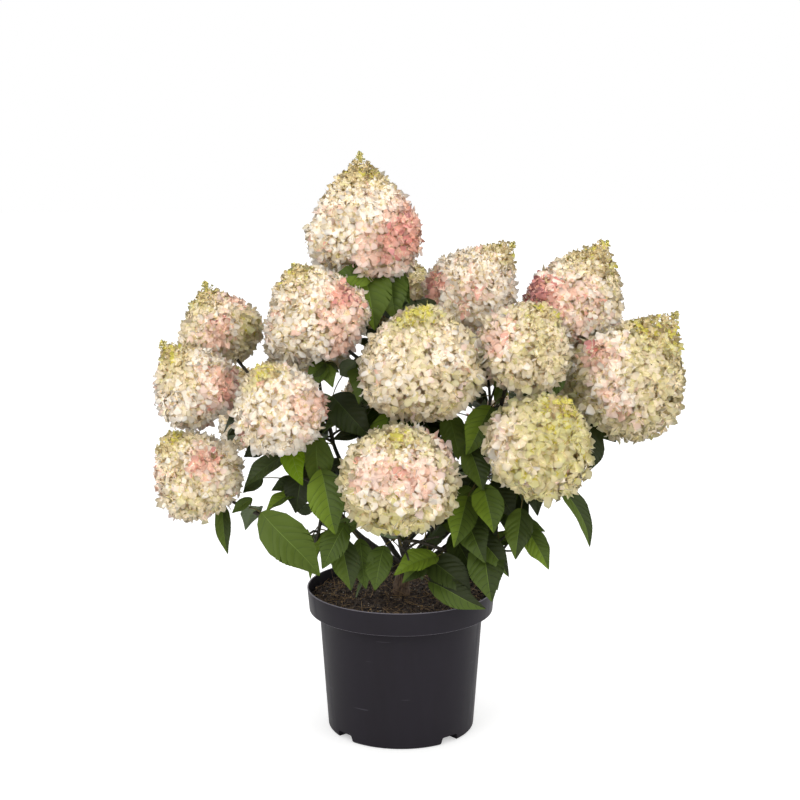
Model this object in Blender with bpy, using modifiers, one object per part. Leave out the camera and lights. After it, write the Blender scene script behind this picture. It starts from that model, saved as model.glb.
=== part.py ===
"""A cone-headed hydrangea shrub in its round plastic container.

Units are metres, +Z is up and -Y is the front. The origin is the centre of the pot's flat
underside. Each stem, each mass of leaves and each flower head is one closed solid. A stem stops
just short of the mass it grows into, and the shoots carry on from that mass's far side.
"""
import math
from collections import namedtuple

import bmesh
import bpy
from mathutils import Matrix, Vector, noise
from mathutils.bvhtree import BVHTree

# Pot: a container of about 7.5 litres with a proud collar and a foot with drain pockets
POT_HEIGHT = 0.200
RIM_RADIUS = 0.130
RIM_ROUNDING = 0.0015
COLLAR_HEIGHT = 0.032
COLLAR_FOOT_RADIUS = 0.1272
BODY_TOP_RADIUS = 0.1133
BASE_RADIUS = 0.1018
WALL = 0.002
FLOOR = 0.003
FOOT_HEIGHT = 0.012
FOOT_WIDTH = 0.009
FOOT_ROUNDING = 0.004
POT_STEPS = 44

# Four pockets run in from the foot's edge, and water drains out under the pot through them
POCKET_COUNT = 4
POCKET_WIDTH = 0.034
POCKET_HEIGHT = 0.010
POCKET_LENGTH = 0.036
POCKET_TURN = math.radians(-49)

# Soil: fills the pot to a little under the rim, and is level round the stem
SOIL_TOP = 0.187
SOIL_EDGE_DROP = 0.002
SOIL_LEVEL_RADIUS = 0.045

# Gap between faces that meet, and the clearance at a stem's ends
GAP = 0.0003
END_GAP = 0.00045

# Woody foot that the main stems spring from
TRUNK_HEIGHT = 0.046
TRUNK_RADIUS = 0.0098
TRUNK_FLARE = 0.0140
TRUNK_LEAN = Vector((0.006, -0.002, 0.0))
TRUNK_RINGS = 5
TRUNK_SIDES_RESOLUTION = 3

# Unevenness of the masses: share of the radius, and lumps to the metre
LEAF_UNEVEN = 0.16
LEAF_LUMPS = 17.0
BLOOM_UNEVEN = 0.055
BLOOM_LUMPS = 30.0
MASS_SEGMENTS = 12
LEAF_RINGS = 7
BLOOM_RINGS = 8

# How far a head's girth slips towards its foot: 0 is an egg with its waist in the middle
BLOOM_DROOP = 0.30

# A head's own "point" is how much of its girth it loses by the tip: 0 is a dome, more is a cone

# Share of an overlap that a flower head gives up where it meets leaves
BLOOM_YIELD = 0.25

# Stems: radius at the foot and at the tip
MAIN_RADII = (0.0046, 0.0036)
SHOOT_RADII = (0.0032, 0.0024)
STEM_POINTS = 6
STEM_SIDES_RESOLUTION = 1
STEM_HANDLE = 0.36
STEM_RISE = math.radians(38)
STEM_TIERS = (0.008, 0.023)

# How far a stem turns upwards as it leaves a mass of leaves, and as it comes to its end
LEAVE_LIFT = 0.5
ARRIVE_LIFT = 0.6

# Fineness of the search for where a stem comes clear of the solids at its two ends
ROUTE_STEPS = 60
HALVINGS = 24
END_SPOKES = 12

MERGE = 0.00001
SHARP_ANGLE = math.radians(35)

Bloom = namedtuple("Bloom", "name centre lean width length point")
Leaves = namedtuple("Leaves", "name centre half_size")
Stem = namedtuple("Stem", "name start end")

BLOOMS = [
    Bloom("bloom_top", (-0.050, 0.000, 0.695), (-0.06, 0.00, 1.0), 0.162, 0.184, 0.60),
    Bloom("bloom_upper_left", (-0.113, -0.070, 0.588), (-0.45, -0.15, 1.0), 0.148, 0.142, 0.40),
    Bloom("bloom_upper_right", (0.099, 0.040, 0.607), (0.78, 0.05, 1.0), 0.132, 0.160, 0.45),
    Bloom("bloom_right_high", (0.240, 0.030, 0.594), (0.50, 0.05, 1.0), 0.140, 0.178, 0.50),
    Bloom("bloom_far_right", (0.306, -0.030, 0.501), (0.72, -0.05, 1.0), 0.170, 0.190, 0.50),
    Bloom("bloom_right_inner", (0.160, -0.110, 0.552), (0.50, -0.55, 1.0), 0.132, 0.128, 0.30),
    Bloom("bloom_middle", (0.028, -0.120, 0.533), (-0.05, -0.40, 1.0), 0.172, 0.152, 0.20),
    Bloom("bloom_right_low", (0.178, -0.160, 0.434), (0.50, -0.50, 1.0), 0.148, 0.144, 0.35),
    Bloom("bloom_left_rear", (-0.254, 0.070, 0.549), (-0.42, 0.15, 1.0), 0.126, 0.122, 0.40),
    Bloom("bloom_left", (-0.277, -0.040, 0.489), (-0.65, -0.10, 1.0), 0.122, 0.132, 0.50),
    Bloom("bloom_left_inner", (-0.156, -0.140, 0.477), (-0.35, -0.50, 1.0), 0.124, 0.134, 0.15),
    Bloom("bloom_left_low", (-0.270, -0.090, 0.379), (-0.75, -0.20, 1.0), 0.124, 0.136, 0.30),
    Bloom("bloom_front_low", (-0.002, -0.185, 0.400), (0.00, -0.75, 1.0), 0.156, 0.140, 0.15),
    Bloom("bloom_back_upper", (0.004, 0.120, 0.575), (0.02, 0.40, 1.0), 0.138, 0.150, 0.50),
    Bloom("bloom_back_left", (-0.135, 0.135, 0.530), (-0.35, 0.45, 1.0), 0.132, 0.144, 0.45),
    Bloom("bloom_back_right", (0.135, 0.175, 0.520), (0.30, 0.55, 1.0), 0.134, 0.146, 0.50),
    Bloom("bloom_back_far_right", (0.250, 0.146, 0.468), (0.55, 0.45, 1.0), 0.128, 0.138, 0.45),
    Bloom("bloom_back_far_left", (-0.215, 0.165, 0.420), (-0.55, 0.45, 1.0), 0.126, 0.136, 0.40),
    Bloom("bloom_back_middle", (-0.020, 0.225, 0.440), (-0.05, 0.75, 1.0), 0.136, 0.146, 0.35),
    Bloom("bloom_back_low", (0.155, 0.215, 0.375), (0.40, 0.75, 1.0), 0.124, 0.134, 0.35),
]

LEAVES = [
    Leaves("leaves_top", (-0.030, 0.020, 0.575), (0.070, 0.062, 0.052)),
    Leaves("leaves_middle", (0.002, -0.010, 0.452), (0.078, 0.075, 0.062)),
    Leaves("leaves_left", (-0.160, 0.020, 0.420), (0.062, 0.066, 0.066)),
    Leaves("leaves_left_front", (-0.104, -0.084, 0.350), (0.064, 0.060, 0.068)),
    Leaves("leaves_left_low", (-0.118, -0.060, 0.262), (0.062, 0.055, 0.048)),
    Leaves("leaves_front", (0.005, -0.105, 0.285), (0.070, 0.058, 0.062)),
    Leaves("leaves_right_front", (0.118, -0.070, 0.385), (0.080, 0.066, 0.080)),
    Leaves("leaves_right_low", (0.125, -0.085, 0.262), (0.068, 0.060, 0.056)),
    Leaves("leaves_right", (0.192, 0.010, 0.392), (0.058, 0.062, 0.066)),
    Leaves("leaves_back_left", (-0.100, 0.115, 0.395), (0.070, 0.062, 0.072)),
    Leaves("leaves_back", (0.010, 0.120, 0.330), (0.070, 0.060, 0.070)),
    Leaves("leaves_back_right", (0.125, 0.115, 0.420), (0.080, 0.068, 0.078)),
]

# A stem runs from the woody foot or a mass of leaves to what it carries
MAIN_STEMS = [
    Stem("stem_middle", "stem_base", "leaves_middle"),
    Stem("stem_left", "stem_base", "leaves_left"),
    Stem("stem_left_front", "stem_base", "leaves_left_front"),
    Stem("stem_front", "stem_base", "leaves_front"),
    Stem("stem_right_front", "stem_base", "leaves_right_front"),
    Stem("stem_right", "stem_base", "leaves_right"),
    Stem("stem_back_right", "stem_base", "leaves_back_right"),
    Stem("stem_back", "stem_base", "leaves_back"),
    Stem("stem_back_left", "stem_base", "leaves_back_left"),
]

SHOOTS = [
    Stem("shoot_upper_left", "leaves_middle", "bloom_upper_left"),
    Stem("shoot_upper_right", "leaves_middle", "bloom_upper_right"),
    Stem("shoot_back_upper", "leaves_middle", "bloom_back_upper"),
    Stem("shoot_left_rear", "leaves_left", "bloom_left_rear"),
    Stem("shoot_left", "leaves_left", "bloom_left"),
    Stem("shoot_left_low", "leaves_left_low", "bloom_left_low"),
    Stem("shoot_left_inner", "leaves_left_front", "bloom_left_inner"),
    Stem("shoot_front_low", "leaves_front", "bloom_front_low"),
    Stem("shoot_right_inner", "leaves_right_front", "bloom_right_inner"),
    Stem("shoot_right_high", "leaves_right", "bloom_right_high"),
    Stem("shoot_far_right", "leaves_right", "bloom_far_right"),
    Stem("shoot_back_middle", "leaves_back", "bloom_back_middle"),
]


def clear_scene():
    for scene_object in list(bpy.data.objects):
        bpy.data.objects.remove(scene_object, do_unlink=True)


def new_collection(name):
    collection = bpy.data.collections.new(name)
    bpy.context.scene.collection.children.link(collection)
    return collection


def new_material(name, colour, roughness, metallic=0.0):
    material = bpy.data.materials.new(name)
    material.use_nodes = True
    shader = material.node_tree.nodes["Principled BSDF"]
    shader.inputs["Base Color"].default_value = (*colour, 1.0)
    shader.inputs["Roughness"].default_value = roughness
    shader.inputs["Metallic"].default_value = metallic
    return material


def add_object(name, data, collection, material=None):
    piece = bpy.data.objects.new(name, data)
    collection.objects.link(piece)
    if material is not None:
        data.materials.append(material)
    return piece


def mesh_from(name, bm):
    mesh = bpy.data.meshes.new(name)
    bm.to_mesh(mesh)
    bm.free()
    mesh.shade_smooth()
    mesh.set_sharp_from_angle(angle=SHARP_ANGLE)
    return mesh


def turned(name, profile, steps, collection, material):
    """Spins a profile of (radius, height) points, from an axis point inside round to the foot."""
    bm = bmesh.new()
    points = [bm.verts.new((radius, 0.0, height)) for radius, height in profile]
    for start, end in zip(points, points[1:]):
        bm.edges.new((start, end))
    piece = add_object(name, mesh_from(name, bm), collection, material)
    screw = piece.modifiers.new("Screw", "SCREW")
    screw.steps = steps
    screw.render_steps = steps
    screw.use_merge_vertices = True
    screw.merge_threshold = MERGE
    return piece


def inner_radius(height):
    """The pot's inside radius below the collar."""
    share = height / (POT_HEIGHT - COLLAR_HEIGHT)
    return BASE_RADIUS + (BODY_TOP_RADIUS - BASE_RADIUS) * share - WALL


def build_pot(collection, cutters):
    collar_foot = POT_HEIGHT - COLLAR_HEIGHT
    foot_inside = BASE_RADIUS - FOOT_WIDTH
    round_middle = FOOT_ROUNDING * (1.0 - math.sqrt(0.5))
    inside = [
        (0.0, FLOOR),
        (foot_inside, FLOOR),
        (foot_inside, FOOT_HEIGHT),
        (inner_radius(FOOT_HEIGHT), FOOT_HEIGHT),
        (inner_radius(collar_foot), collar_foot + WALL),
        (COLLAR_FOOT_RADIUS - WALL, collar_foot + WALL),
        (RIM_RADIUS - WALL, POT_HEIGHT),
    ]
    outside = [
        (RIM_RADIUS - RIM_ROUNDING, POT_HEIGHT),
        (RIM_RADIUS, POT_HEIGHT - RIM_ROUNDING),
        (COLLAR_FOOT_RADIUS, collar_foot),
        (BODY_TOP_RADIUS, collar_foot),
        (BASE_RADIUS, FOOT_ROUNDING),
        (BASE_RADIUS - round_middle, round_middle),
        (BASE_RADIUS - FOOT_ROUNDING, 0.0),
        (0.0, 0.0),
    ]
    plastic = new_material("pot_plastic", (0.030, 0.031, 0.036), 0.42)
    pot = turned("pot", inside + outside, POT_STEPS, collection, plastic)
    roofs = pocket_boxes("pocket_roofs", WALL, BASE_RADIUS - FOOT_WIDTH / 2.0, FOOT_ROUNDING / 4.0, cutters)
    add_boolean(pot, roofs, "UNION")
    pockets = pocket_boxes("pockets", 0.0, BASE_RADIUS + FOOT_WIDTH, -POCKET_HEIGHT, cutters)
    add_boolean(pot, pockets, "DIFFERENCE")


def pocket_boxes(name, margin, outer_radius, underside, cutters):
    """One box for each drain pocket, grown by a margin on its sides, its top and its inner end."""
    width = POCKET_WIDTH + 2.0 * margin
    top = POCKET_HEIGHT + margin
    inner_end = BASE_RADIUS - POCKET_LENGTH - margin
    length = outer_radius - inner_end
    bm = bmesh.new()
    for index in range(POCKET_COUNT):
        turn = Matrix.Rotation(POCKET_TURN + math.tau * index / POCKET_COUNT, 4, "Z")
        middle = (0.0, -(outer_radius + inner_end) / 2.0, (top + underside) / 2.0)
        size = Matrix.Diagonal((width, length, top - underside, 1.0))
        bmesh.ops.create_cube(bm, size=1.0, matrix=turn @ Matrix.Translation(middle) @ size)
    boxes = add_object(name, mesh_from(name, bm), cutters)
    boxes.hide_render = True
    boxes.display_type = "WIRE"
    return boxes


def add_boolean(piece, cutter, operation):
    boolean = piece.modifiers.new(cutter.name, "BOOLEAN")
    boolean.operation = operation
    boolean.object = cutter


def build_soil(collection, cutters):
    collar_foot = POT_HEIGHT - COLLAR_HEIGHT
    edge_top = SOIL_TOP - SOIL_EDGE_DROP
    collar_slope = (RIM_RADIUS - COLLAR_FOOT_RADIUS) / COLLAR_HEIGHT
    rim_inside = COLLAR_FOOT_RADIUS - WALL
    ledge = collar_foot + WALL + GAP
    profile = [
        (0.0, SOIL_TOP),
        (SOIL_LEVEL_RADIUS, SOIL_TOP),
        (rim_inside + collar_slope * (edge_top - ledge) - 2.0 * GAP, edge_top),
        (rim_inside - 2.0 * GAP, ledge),
        (inner_radius(collar_foot) - GAP, ledge),
        (inner_radius(FOOT_HEIGHT) - GAP, FOOT_HEIGHT + GAP),
        (BASE_RADIUS - FOOT_WIDTH - GAP, FOOT_HEIGHT + GAP),
        (BASE_RADIUS - FOOT_WIDTH - GAP, FLOOR + GAP),
        (0.0, FLOOR + GAP),
    ]
    peat = new_material("soil", (0.050, 0.033, 0.022), 0.95)
    soil = turned("soil", profile, POT_STEPS, collection, peat)
    hollows = pocket_boxes("soil_hollows", WALL + GAP, BASE_RADIUS, 0.0, cutters)
    add_boolean(soil, hollows, "DIFFERENCE")


def tube(name, points, radii, sides_resolution, material, collection):
    """A tapering limb through the points, with a flat cap at each end."""
    curve = bpy.data.curves.new(name, "CURVE")
    curve.dimensions = "3D"
    curve.bevel_depth = 1.0
    curve.bevel_resolution = sides_resolution
    curve.use_fill_caps = True
    spline = curve.splines.new("POLY")
    spline.points.add(len(points) - 1)
    for knot, point, radius in zip(spline.points, points, radii):
        knot.co = (*point, 1.0)
        knot.radius = radius
    return add_object(name, curve, collection, material)


def evaluated_bvh(piece):
    """The finished surface of an object, in world space, for measuring distances."""
    depsgraph = bpy.context.evaluated_depsgraph_get()
    mesh = bpy.data.meshes.new_from_object(piece.evaluated_get(depsgraph))
    bm = bmesh.new()
    bm.from_mesh(mesh)
    bmesh.ops.remove_doubles(bm, verts=bm.verts, dist=MERGE)
    bmesh.ops.recalc_face_normals(bm, faces=bm.faces)
    bvh = BVHTree.FromBMesh(bm)
    bm.free()
    bpy.data.meshes.remove(mesh)
    return bvh


def build_trunk(collection, bark):
    """The woody foot: flared at the soil, tapering and leaning to where the stems spring."""
    foot = Vector((0.0, 0.0, SOIL_TOP + GAP))
    points = []
    radii = []
    for index in range(TRUNK_RINGS):
        share = index / (TRUNK_RINGS - 1)
        sway = max(index - 1, 0) / (TRUNK_RINGS - 2)
        points.append(foot + TRUNK_LEAN * sway + Vector((0.0, 0.0, TRUNK_HEIGHT * share)))
        radii.append(TRUNK_RADIUS + (TRUNK_FLARE - TRUNK_RADIUS) * (1.0 - share) ** 3)
    tube("stem_base", points, radii, TRUNK_SIDES_RESOLUTION, bark, collection)


def uneven_solid(shape, rings, unevenness, lumps, centre):
    """A ball whose points are moved onto a shape and pushed in or out by lumps of noise."""
    bm = bmesh.new()
    bmesh.ops.create_uvsphere(bm, u_segments=MASS_SEGMENTS, v_segments=rings, radius=1.0)
    for vert in bm.verts:
        offset = shape(vert.co.normalized())
        swell = 1.0 + unevenness * noise.noise((centre + offset) * lumps)
        vert.co = centre + offset * swell
    return bm


def bloom_solid(bloom):
    """A blunt cone: an egg whose girth sits below the middle, turned to lean outwards."""
    turn = Vector(bloom.lean).to_track_quat("Z", "Y").to_matrix()
    widest = (1.0 - math.sqrt(1.0 + 8.0 * BLOOM_DROOP**2)) / (4.0 * BLOOM_DROOP)
    girth = math.sqrt(1.0 - widest**2) * (1.0 - BLOOM_DROOP * widest)

    def shape(way):
        swell = bloom.width / 2.0 * (1.0 - BLOOM_DROOP * way.z) / girth
        swell *= 1.0 - bloom.point * max(way.z, 0.0) ** 2
        return turn @ Vector((way.x * swell, way.y * swell, way.z * bloom.length / 2.0))

    return uneven_solid(shape, BLOOM_RINGS, BLOOM_UNEVEN, BLOOM_LUMPS, Vector(bloom.centre))


def leaves_solid(leaves):
    def shape(way):
        return Vector([part * half for part, half in zip(way, leaves.half_size)])

    return uneven_solid(shape, LEAF_RINGS, LEAF_UNEVEN, LEAF_LUMPS, Vector(leaves.centre))


def points_inside(bm, bvh):
    """The points of one solid that lie inside another."""
    inside = []
    for vert in bm.verts:
        nearest, normal, _, _ = bvh.find_nearest(vert.co)
        if (vert.co - nearest).dot(normal) < 0.0:
            inside.append(vert.co.copy())
    return inside


def trim(bm, point, normal):
    """Cuts off what lies beyond a plane and closes the cut with a flat face."""
    geometry = list(bm.verts) + list(bm.edges) + list(bm.faces)
    cut = bmesh.ops.bisect_plane(
        bm, geom=geometry, dist=MERGE / 10.0, plane_co=point, plane_no=normal, clear_outer=True
    )
    rim = [item for item in cut["geom_cut"] if isinstance(item, bmesh.types.BMEdge)]
    if rim:
        bmesh.ops.contextual_create(bm, geom=rim)
        bmesh.ops.recalc_face_normals(bm, faces=bm.faces)


def part_where_they_meet(first, second, first_share):
    """Cuts two solids that overlap at a plane between them, a gap apart."""
    first_bvh = BVHTree.FromBMesh(first)
    second_bvh = BVHTree.FromBMesh(second)
    if not first_bvh.overlap(second_bvh):
        return
    first_middle = sum((vert.co for vert in first.verts), Vector()) / len(first.verts)
    second_middle = sum((vert.co for vert in second.verts), Vector()) / len(second.verts)
    normal = (second_middle - first_middle).normalized()
    first_reach = max(point.dot(normal) for point in points_inside(first, second_bvh)
                      or [vert.co for vert in first.verts])
    second_reach = min(point.dot(normal) for point in points_inside(second, first_bvh)
                       or [vert.co for vert in second.verts])
    plane = first_reach - first_share * (first_reach - second_reach)
    trim(first, normal * (plane - GAP / 2.0), normal)
    trim(second, normal * (plane + GAP / 2.0), -normal)


def build_masses(collection, petals, foliage):
    """Makes every head and mass of leaves, and parts the neighbours that would overlap."""
    solids = {bloom.name: bloom_solid(bloom) for bloom in BLOOMS}
    solids.update({leaves.name: leaves_solid(leaves) for leaves in LEAVES})
    names = list(solids)
    for index, name in enumerate(names):
        for other in names[index + 1:]:
            bloom_meets_leaves = name.startswith("bloom") and other.startswith("leaves")
            share = BLOOM_YIELD if bloom_meets_leaves else 0.5
            part_where_they_meet(solids[name], solids[other], share)
    for name, bm in solids.items():
        bmesh.ops.triangulate(bm, faces=bm.faces)
        material = petals if name.startswith("bloom") else foliage
        add_object(name, mesh_from(name, bm), collection, material)


def bezier(knots, share):
    """A point on the cubic curve through the first and last knot, and its direction there."""
    rest = 1.0 - share
    point = (knots[0] * rest**3 + knots[1] * 3.0 * rest**2 * share
             + knots[2] * 3.0 * rest * share**2 + knots[3] * share**3)
    way = ((knots[1] - knots[0]) * rest**2 + (knots[2] - knots[1]) * 2.0 * rest * share
           + (knots[3] - knots[2]) * share**2)
    return point, way.normalized()


def clearance(bvh, knots, share, radius):
    """How far the end face of a stem that stops here stands off a solid: below 0 is inside."""
    centre, way = bezier(knots, share)
    side = way.orthogonal().normalized()
    least = 1.0
    for ring in (0.0, 0.5, 1.0):
        for step in range(END_SPOKES):
            spoke = Matrix.Rotation(math.tau * step / END_SPOKES, 3, way) @ side
            point = centre + spoke * radius * ring
            nearest, normal, _, distance = bvh.find_nearest(point)
            outside = (point - nearest).dot(normal) >= 0.0
            least = min(least, distance if outside else -distance)
    return least


def stand_off(bvh, knots, inside, outside, radius):
    """The share of the route, between one inside the solid and one outside, that just clears it."""
    for _ in range(HALVINGS):
        middle = (inside + outside) / 2.0
        if clearance(bvh, knots, middle, radius) < END_GAP:
            inside = middle
        else:
            outside = middle
    return outside


def middle_of(piece_name):
    mesh = bpy.data.objects[piece_name].data
    return sum((vert.co for vert in mesh.vertices), Vector()) / len(mesh.vertices)


def route(stem):
    """The curve from the middle of what a stem leaves to the middle of what it carries."""
    end = middle_of(stem.end)
    if stem.start == "stem_base":
        outward = Vector((end.x, end.y, 0.0)).normalized()
        upright = stem.end == "leaves_middle"
        rise = math.pi / 2.0 if upright else STEM_RISE
        leave = outward * math.cos(rise) + Vector((0.0, 0.0, math.sin(rise)))
        below_top = STEM_TIERS[MAIN_STEMS.index(stem) % len(STEM_TIERS)]
        start = TRUNK_LEAN + Vector((0.0, 0.0, SOIL_TOP + TRUNK_HEIGHT - below_top))
    else:
        start = middle_of(stem.start)
        leave = ((end - start).normalized() + Vector((0.0, 0.0, LEAVE_LIFT))).normalized()
    arrive = (end - start).normalized() + Vector((0.0, 0.0, ARRIVE_LIFT))
    for bloom in BLOOMS:
        if bloom.name == stem.end:
            arrive = Vector(bloom.lean)
    reach = (end - start).length * STEM_HANDLE
    return [start, start + leave * reach, end - arrive.normalized() * reach, end]


def build_stem(stem, radii, bark, collection):
    """One tapering limb between two solids, clear of both."""
    knots = route(stem)
    start_bvh = evaluated_bvh(bpy.data.objects[stem.start])
    end_bvh = evaluated_bvh(bpy.data.objects[stem.end])
    step = 1.0 / ROUTE_STEPS
    shares = [index * step for index in range(ROUTE_STEPS + 1)]
    last_in_start = max(share for share in shares
                        if clearance(start_bvh, knots, share, radii[0]) < END_GAP)
    first_in_end = min(share for share in shares
                       if clearance(end_bvh, knots, share, radii[1]) < END_GAP)
    if last_in_start >= first_in_end:
        raise ValueError(f"{stem.name}: {stem.start} and {stem.end} leave it no room")
    foot = stand_off(start_bvh, knots, last_in_start, last_in_start + step, radii[0])
    tip = stand_off(end_bvh, knots, first_in_end, first_in_end - step, radii[1])
    points = []
    widths = []
    for index in range(STEM_POINTS):
        share = index / (STEM_POINTS - 1)
        points.append(bezier(knots, foot + (tip - foot) * share)[0])
        widths.append(radii[0] + (radii[1] - radii[0]) * share)
    tube(stem.name, points, widths, STEM_SIDES_RESOLUTION, bark, collection)


def main():
    clear_scene()
    shrub = new_collection("hydrangea_shrub")
    cutters = new_collection("cutters")
    bark = new_material("bark", (0.135, 0.085, 0.050), 0.80)
    petals = new_material("petals", (0.85, 0.74, 0.62), 0.55)
    foliage = new_material("foliage", (0.075, 0.16, 0.035), 0.45)
    build_pot(shrub, cutters)
    build_soil(shrub, cutters)
    build_trunk(shrub, bark)
    build_masses(shrub, petals, foliage)
    for stem in MAIN_STEMS:
        build_stem(stem, MAIN_RADII, bark, shrub)
    for shoot in SHOOTS:
        build_stem(shoot, SHOOT_RADII, bark, shrub)


main()
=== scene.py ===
"""A potted, cone-headed hydrangea in late-summer colour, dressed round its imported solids.

Each flower head is a crowd of four-petalled florets, and each mass of leaves is a set of twigs with leaves in
pairs. The stems, the peat and the pot are drawn or turned where their solids stand. Lengths are in metres.
"""

import math
from collections import namedtuple

import bmesh
import bpy
import numpy as np
from mathutils import Matrix, Vector, noise
from mathutils.bvhtree import BVHTree


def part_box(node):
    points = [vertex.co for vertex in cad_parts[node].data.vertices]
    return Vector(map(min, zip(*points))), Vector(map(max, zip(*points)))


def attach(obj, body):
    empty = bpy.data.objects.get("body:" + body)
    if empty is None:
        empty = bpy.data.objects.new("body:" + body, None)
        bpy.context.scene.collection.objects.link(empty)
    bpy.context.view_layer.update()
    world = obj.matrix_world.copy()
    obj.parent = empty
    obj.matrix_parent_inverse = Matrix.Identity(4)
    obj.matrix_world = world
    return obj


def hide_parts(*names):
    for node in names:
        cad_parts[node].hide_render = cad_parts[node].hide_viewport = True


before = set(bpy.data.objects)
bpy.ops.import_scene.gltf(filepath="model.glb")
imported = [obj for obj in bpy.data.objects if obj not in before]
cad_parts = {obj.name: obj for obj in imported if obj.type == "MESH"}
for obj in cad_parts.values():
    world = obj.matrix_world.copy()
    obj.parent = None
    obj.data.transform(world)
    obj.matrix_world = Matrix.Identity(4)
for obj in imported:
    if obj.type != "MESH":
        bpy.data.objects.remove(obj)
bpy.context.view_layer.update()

bl_info = {
    "name": "Potted Hydrangea",
    "version": (1, 0, 0),
    "blender": (4, 5, 0),
    "location": "View3D > Sidebar > Hydrangea",
    "description": "Petals, leaves, bark, peat and pot for a cone-headed hydrangea shrub",
    "category": "Add Mesh",
}

MM = 0.001
BODY = "root"
UP = np.array((0.0, 0.0, 1.0))
GOLDEN_ANGLE = math.pi * (3.0 - math.sqrt(5.0))
WHITE = (1.0, 1.0, 1.0, 1.0)

# Where the random draws of each crowd start. The heads count up from theirs, one for each.
LITTER_SEED, LIMB_SEED, LEAF_SEED, BLADE_SEED, HEAD_SEED = 5, 7, 23, 31, 100
# Where a limb reads its bark's ridges in the noise. Stems and shoots count up from 0, and twigs from theirs.
TWIG_GRAIN, FOOT_GRAIN = 50, 90

# The camera stands in front of the plant, a little above its middle.
EYE = np.array((-0.0014, -2.04, 0.82))
EYE_PITCH = math.radians(10)
EYE_LENS = 68.6
SENSOR = 36.0

# ---------------------------------------------------------------- flower heads

# A blush patch is told by where it sits on the head seen from the front: across and up run from -1 to 1,
# spread is its reach in the same measure, and change moves its petals along the shades, up for pinker.
Patch = namedtuple("Patch", "across up spread change")
# lean is the head's axis, shade its usual place among PETAL_SHADES, young how far down the young florets of
# its tip reach, green how many of those are lime (the others are sandy), tuft the length of the buds above
# them, and size how big its petals are against the usual.
Head = namedtuple("Head", "name lean shade young green tuft size patches")

# The shades of a petal's outer half, from young to fading, and with each the shade near the petal's foot.
# The feet's shades are partly the petals' own green and cream hearts and partly painted shade: the warm shade
# down in a head's hollows.
INNER_SHADES = {
    "lime": "lime", "pale_lime": "lime", "butter": "pale_lime", "cream": "pale_lime", "ivory": "hollow_shade",
    "blush": "hollow_shade", "peach": "blush", "salmon": "peach", "rose": "salmon", "mauve": "mauve",
}
PETAL_SHADES = tuple(INNER_SHADES)
PETAL_SLOTS = {shade: slot for slot, shade in enumerate((*PETAL_SHADES, "sand", "bud", "hollow_shade", "heart"))}
INNER_SLOTS = np.array([PETAL_SLOTS[shade] for shade in INNER_SHADES.values()])

# Part of the heads' shades is painted light and shade: the heads on the left and at the top take whiter
# shades where the key light falls, and those on the right and low down take greener, darker ones for the
# shade there.
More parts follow.
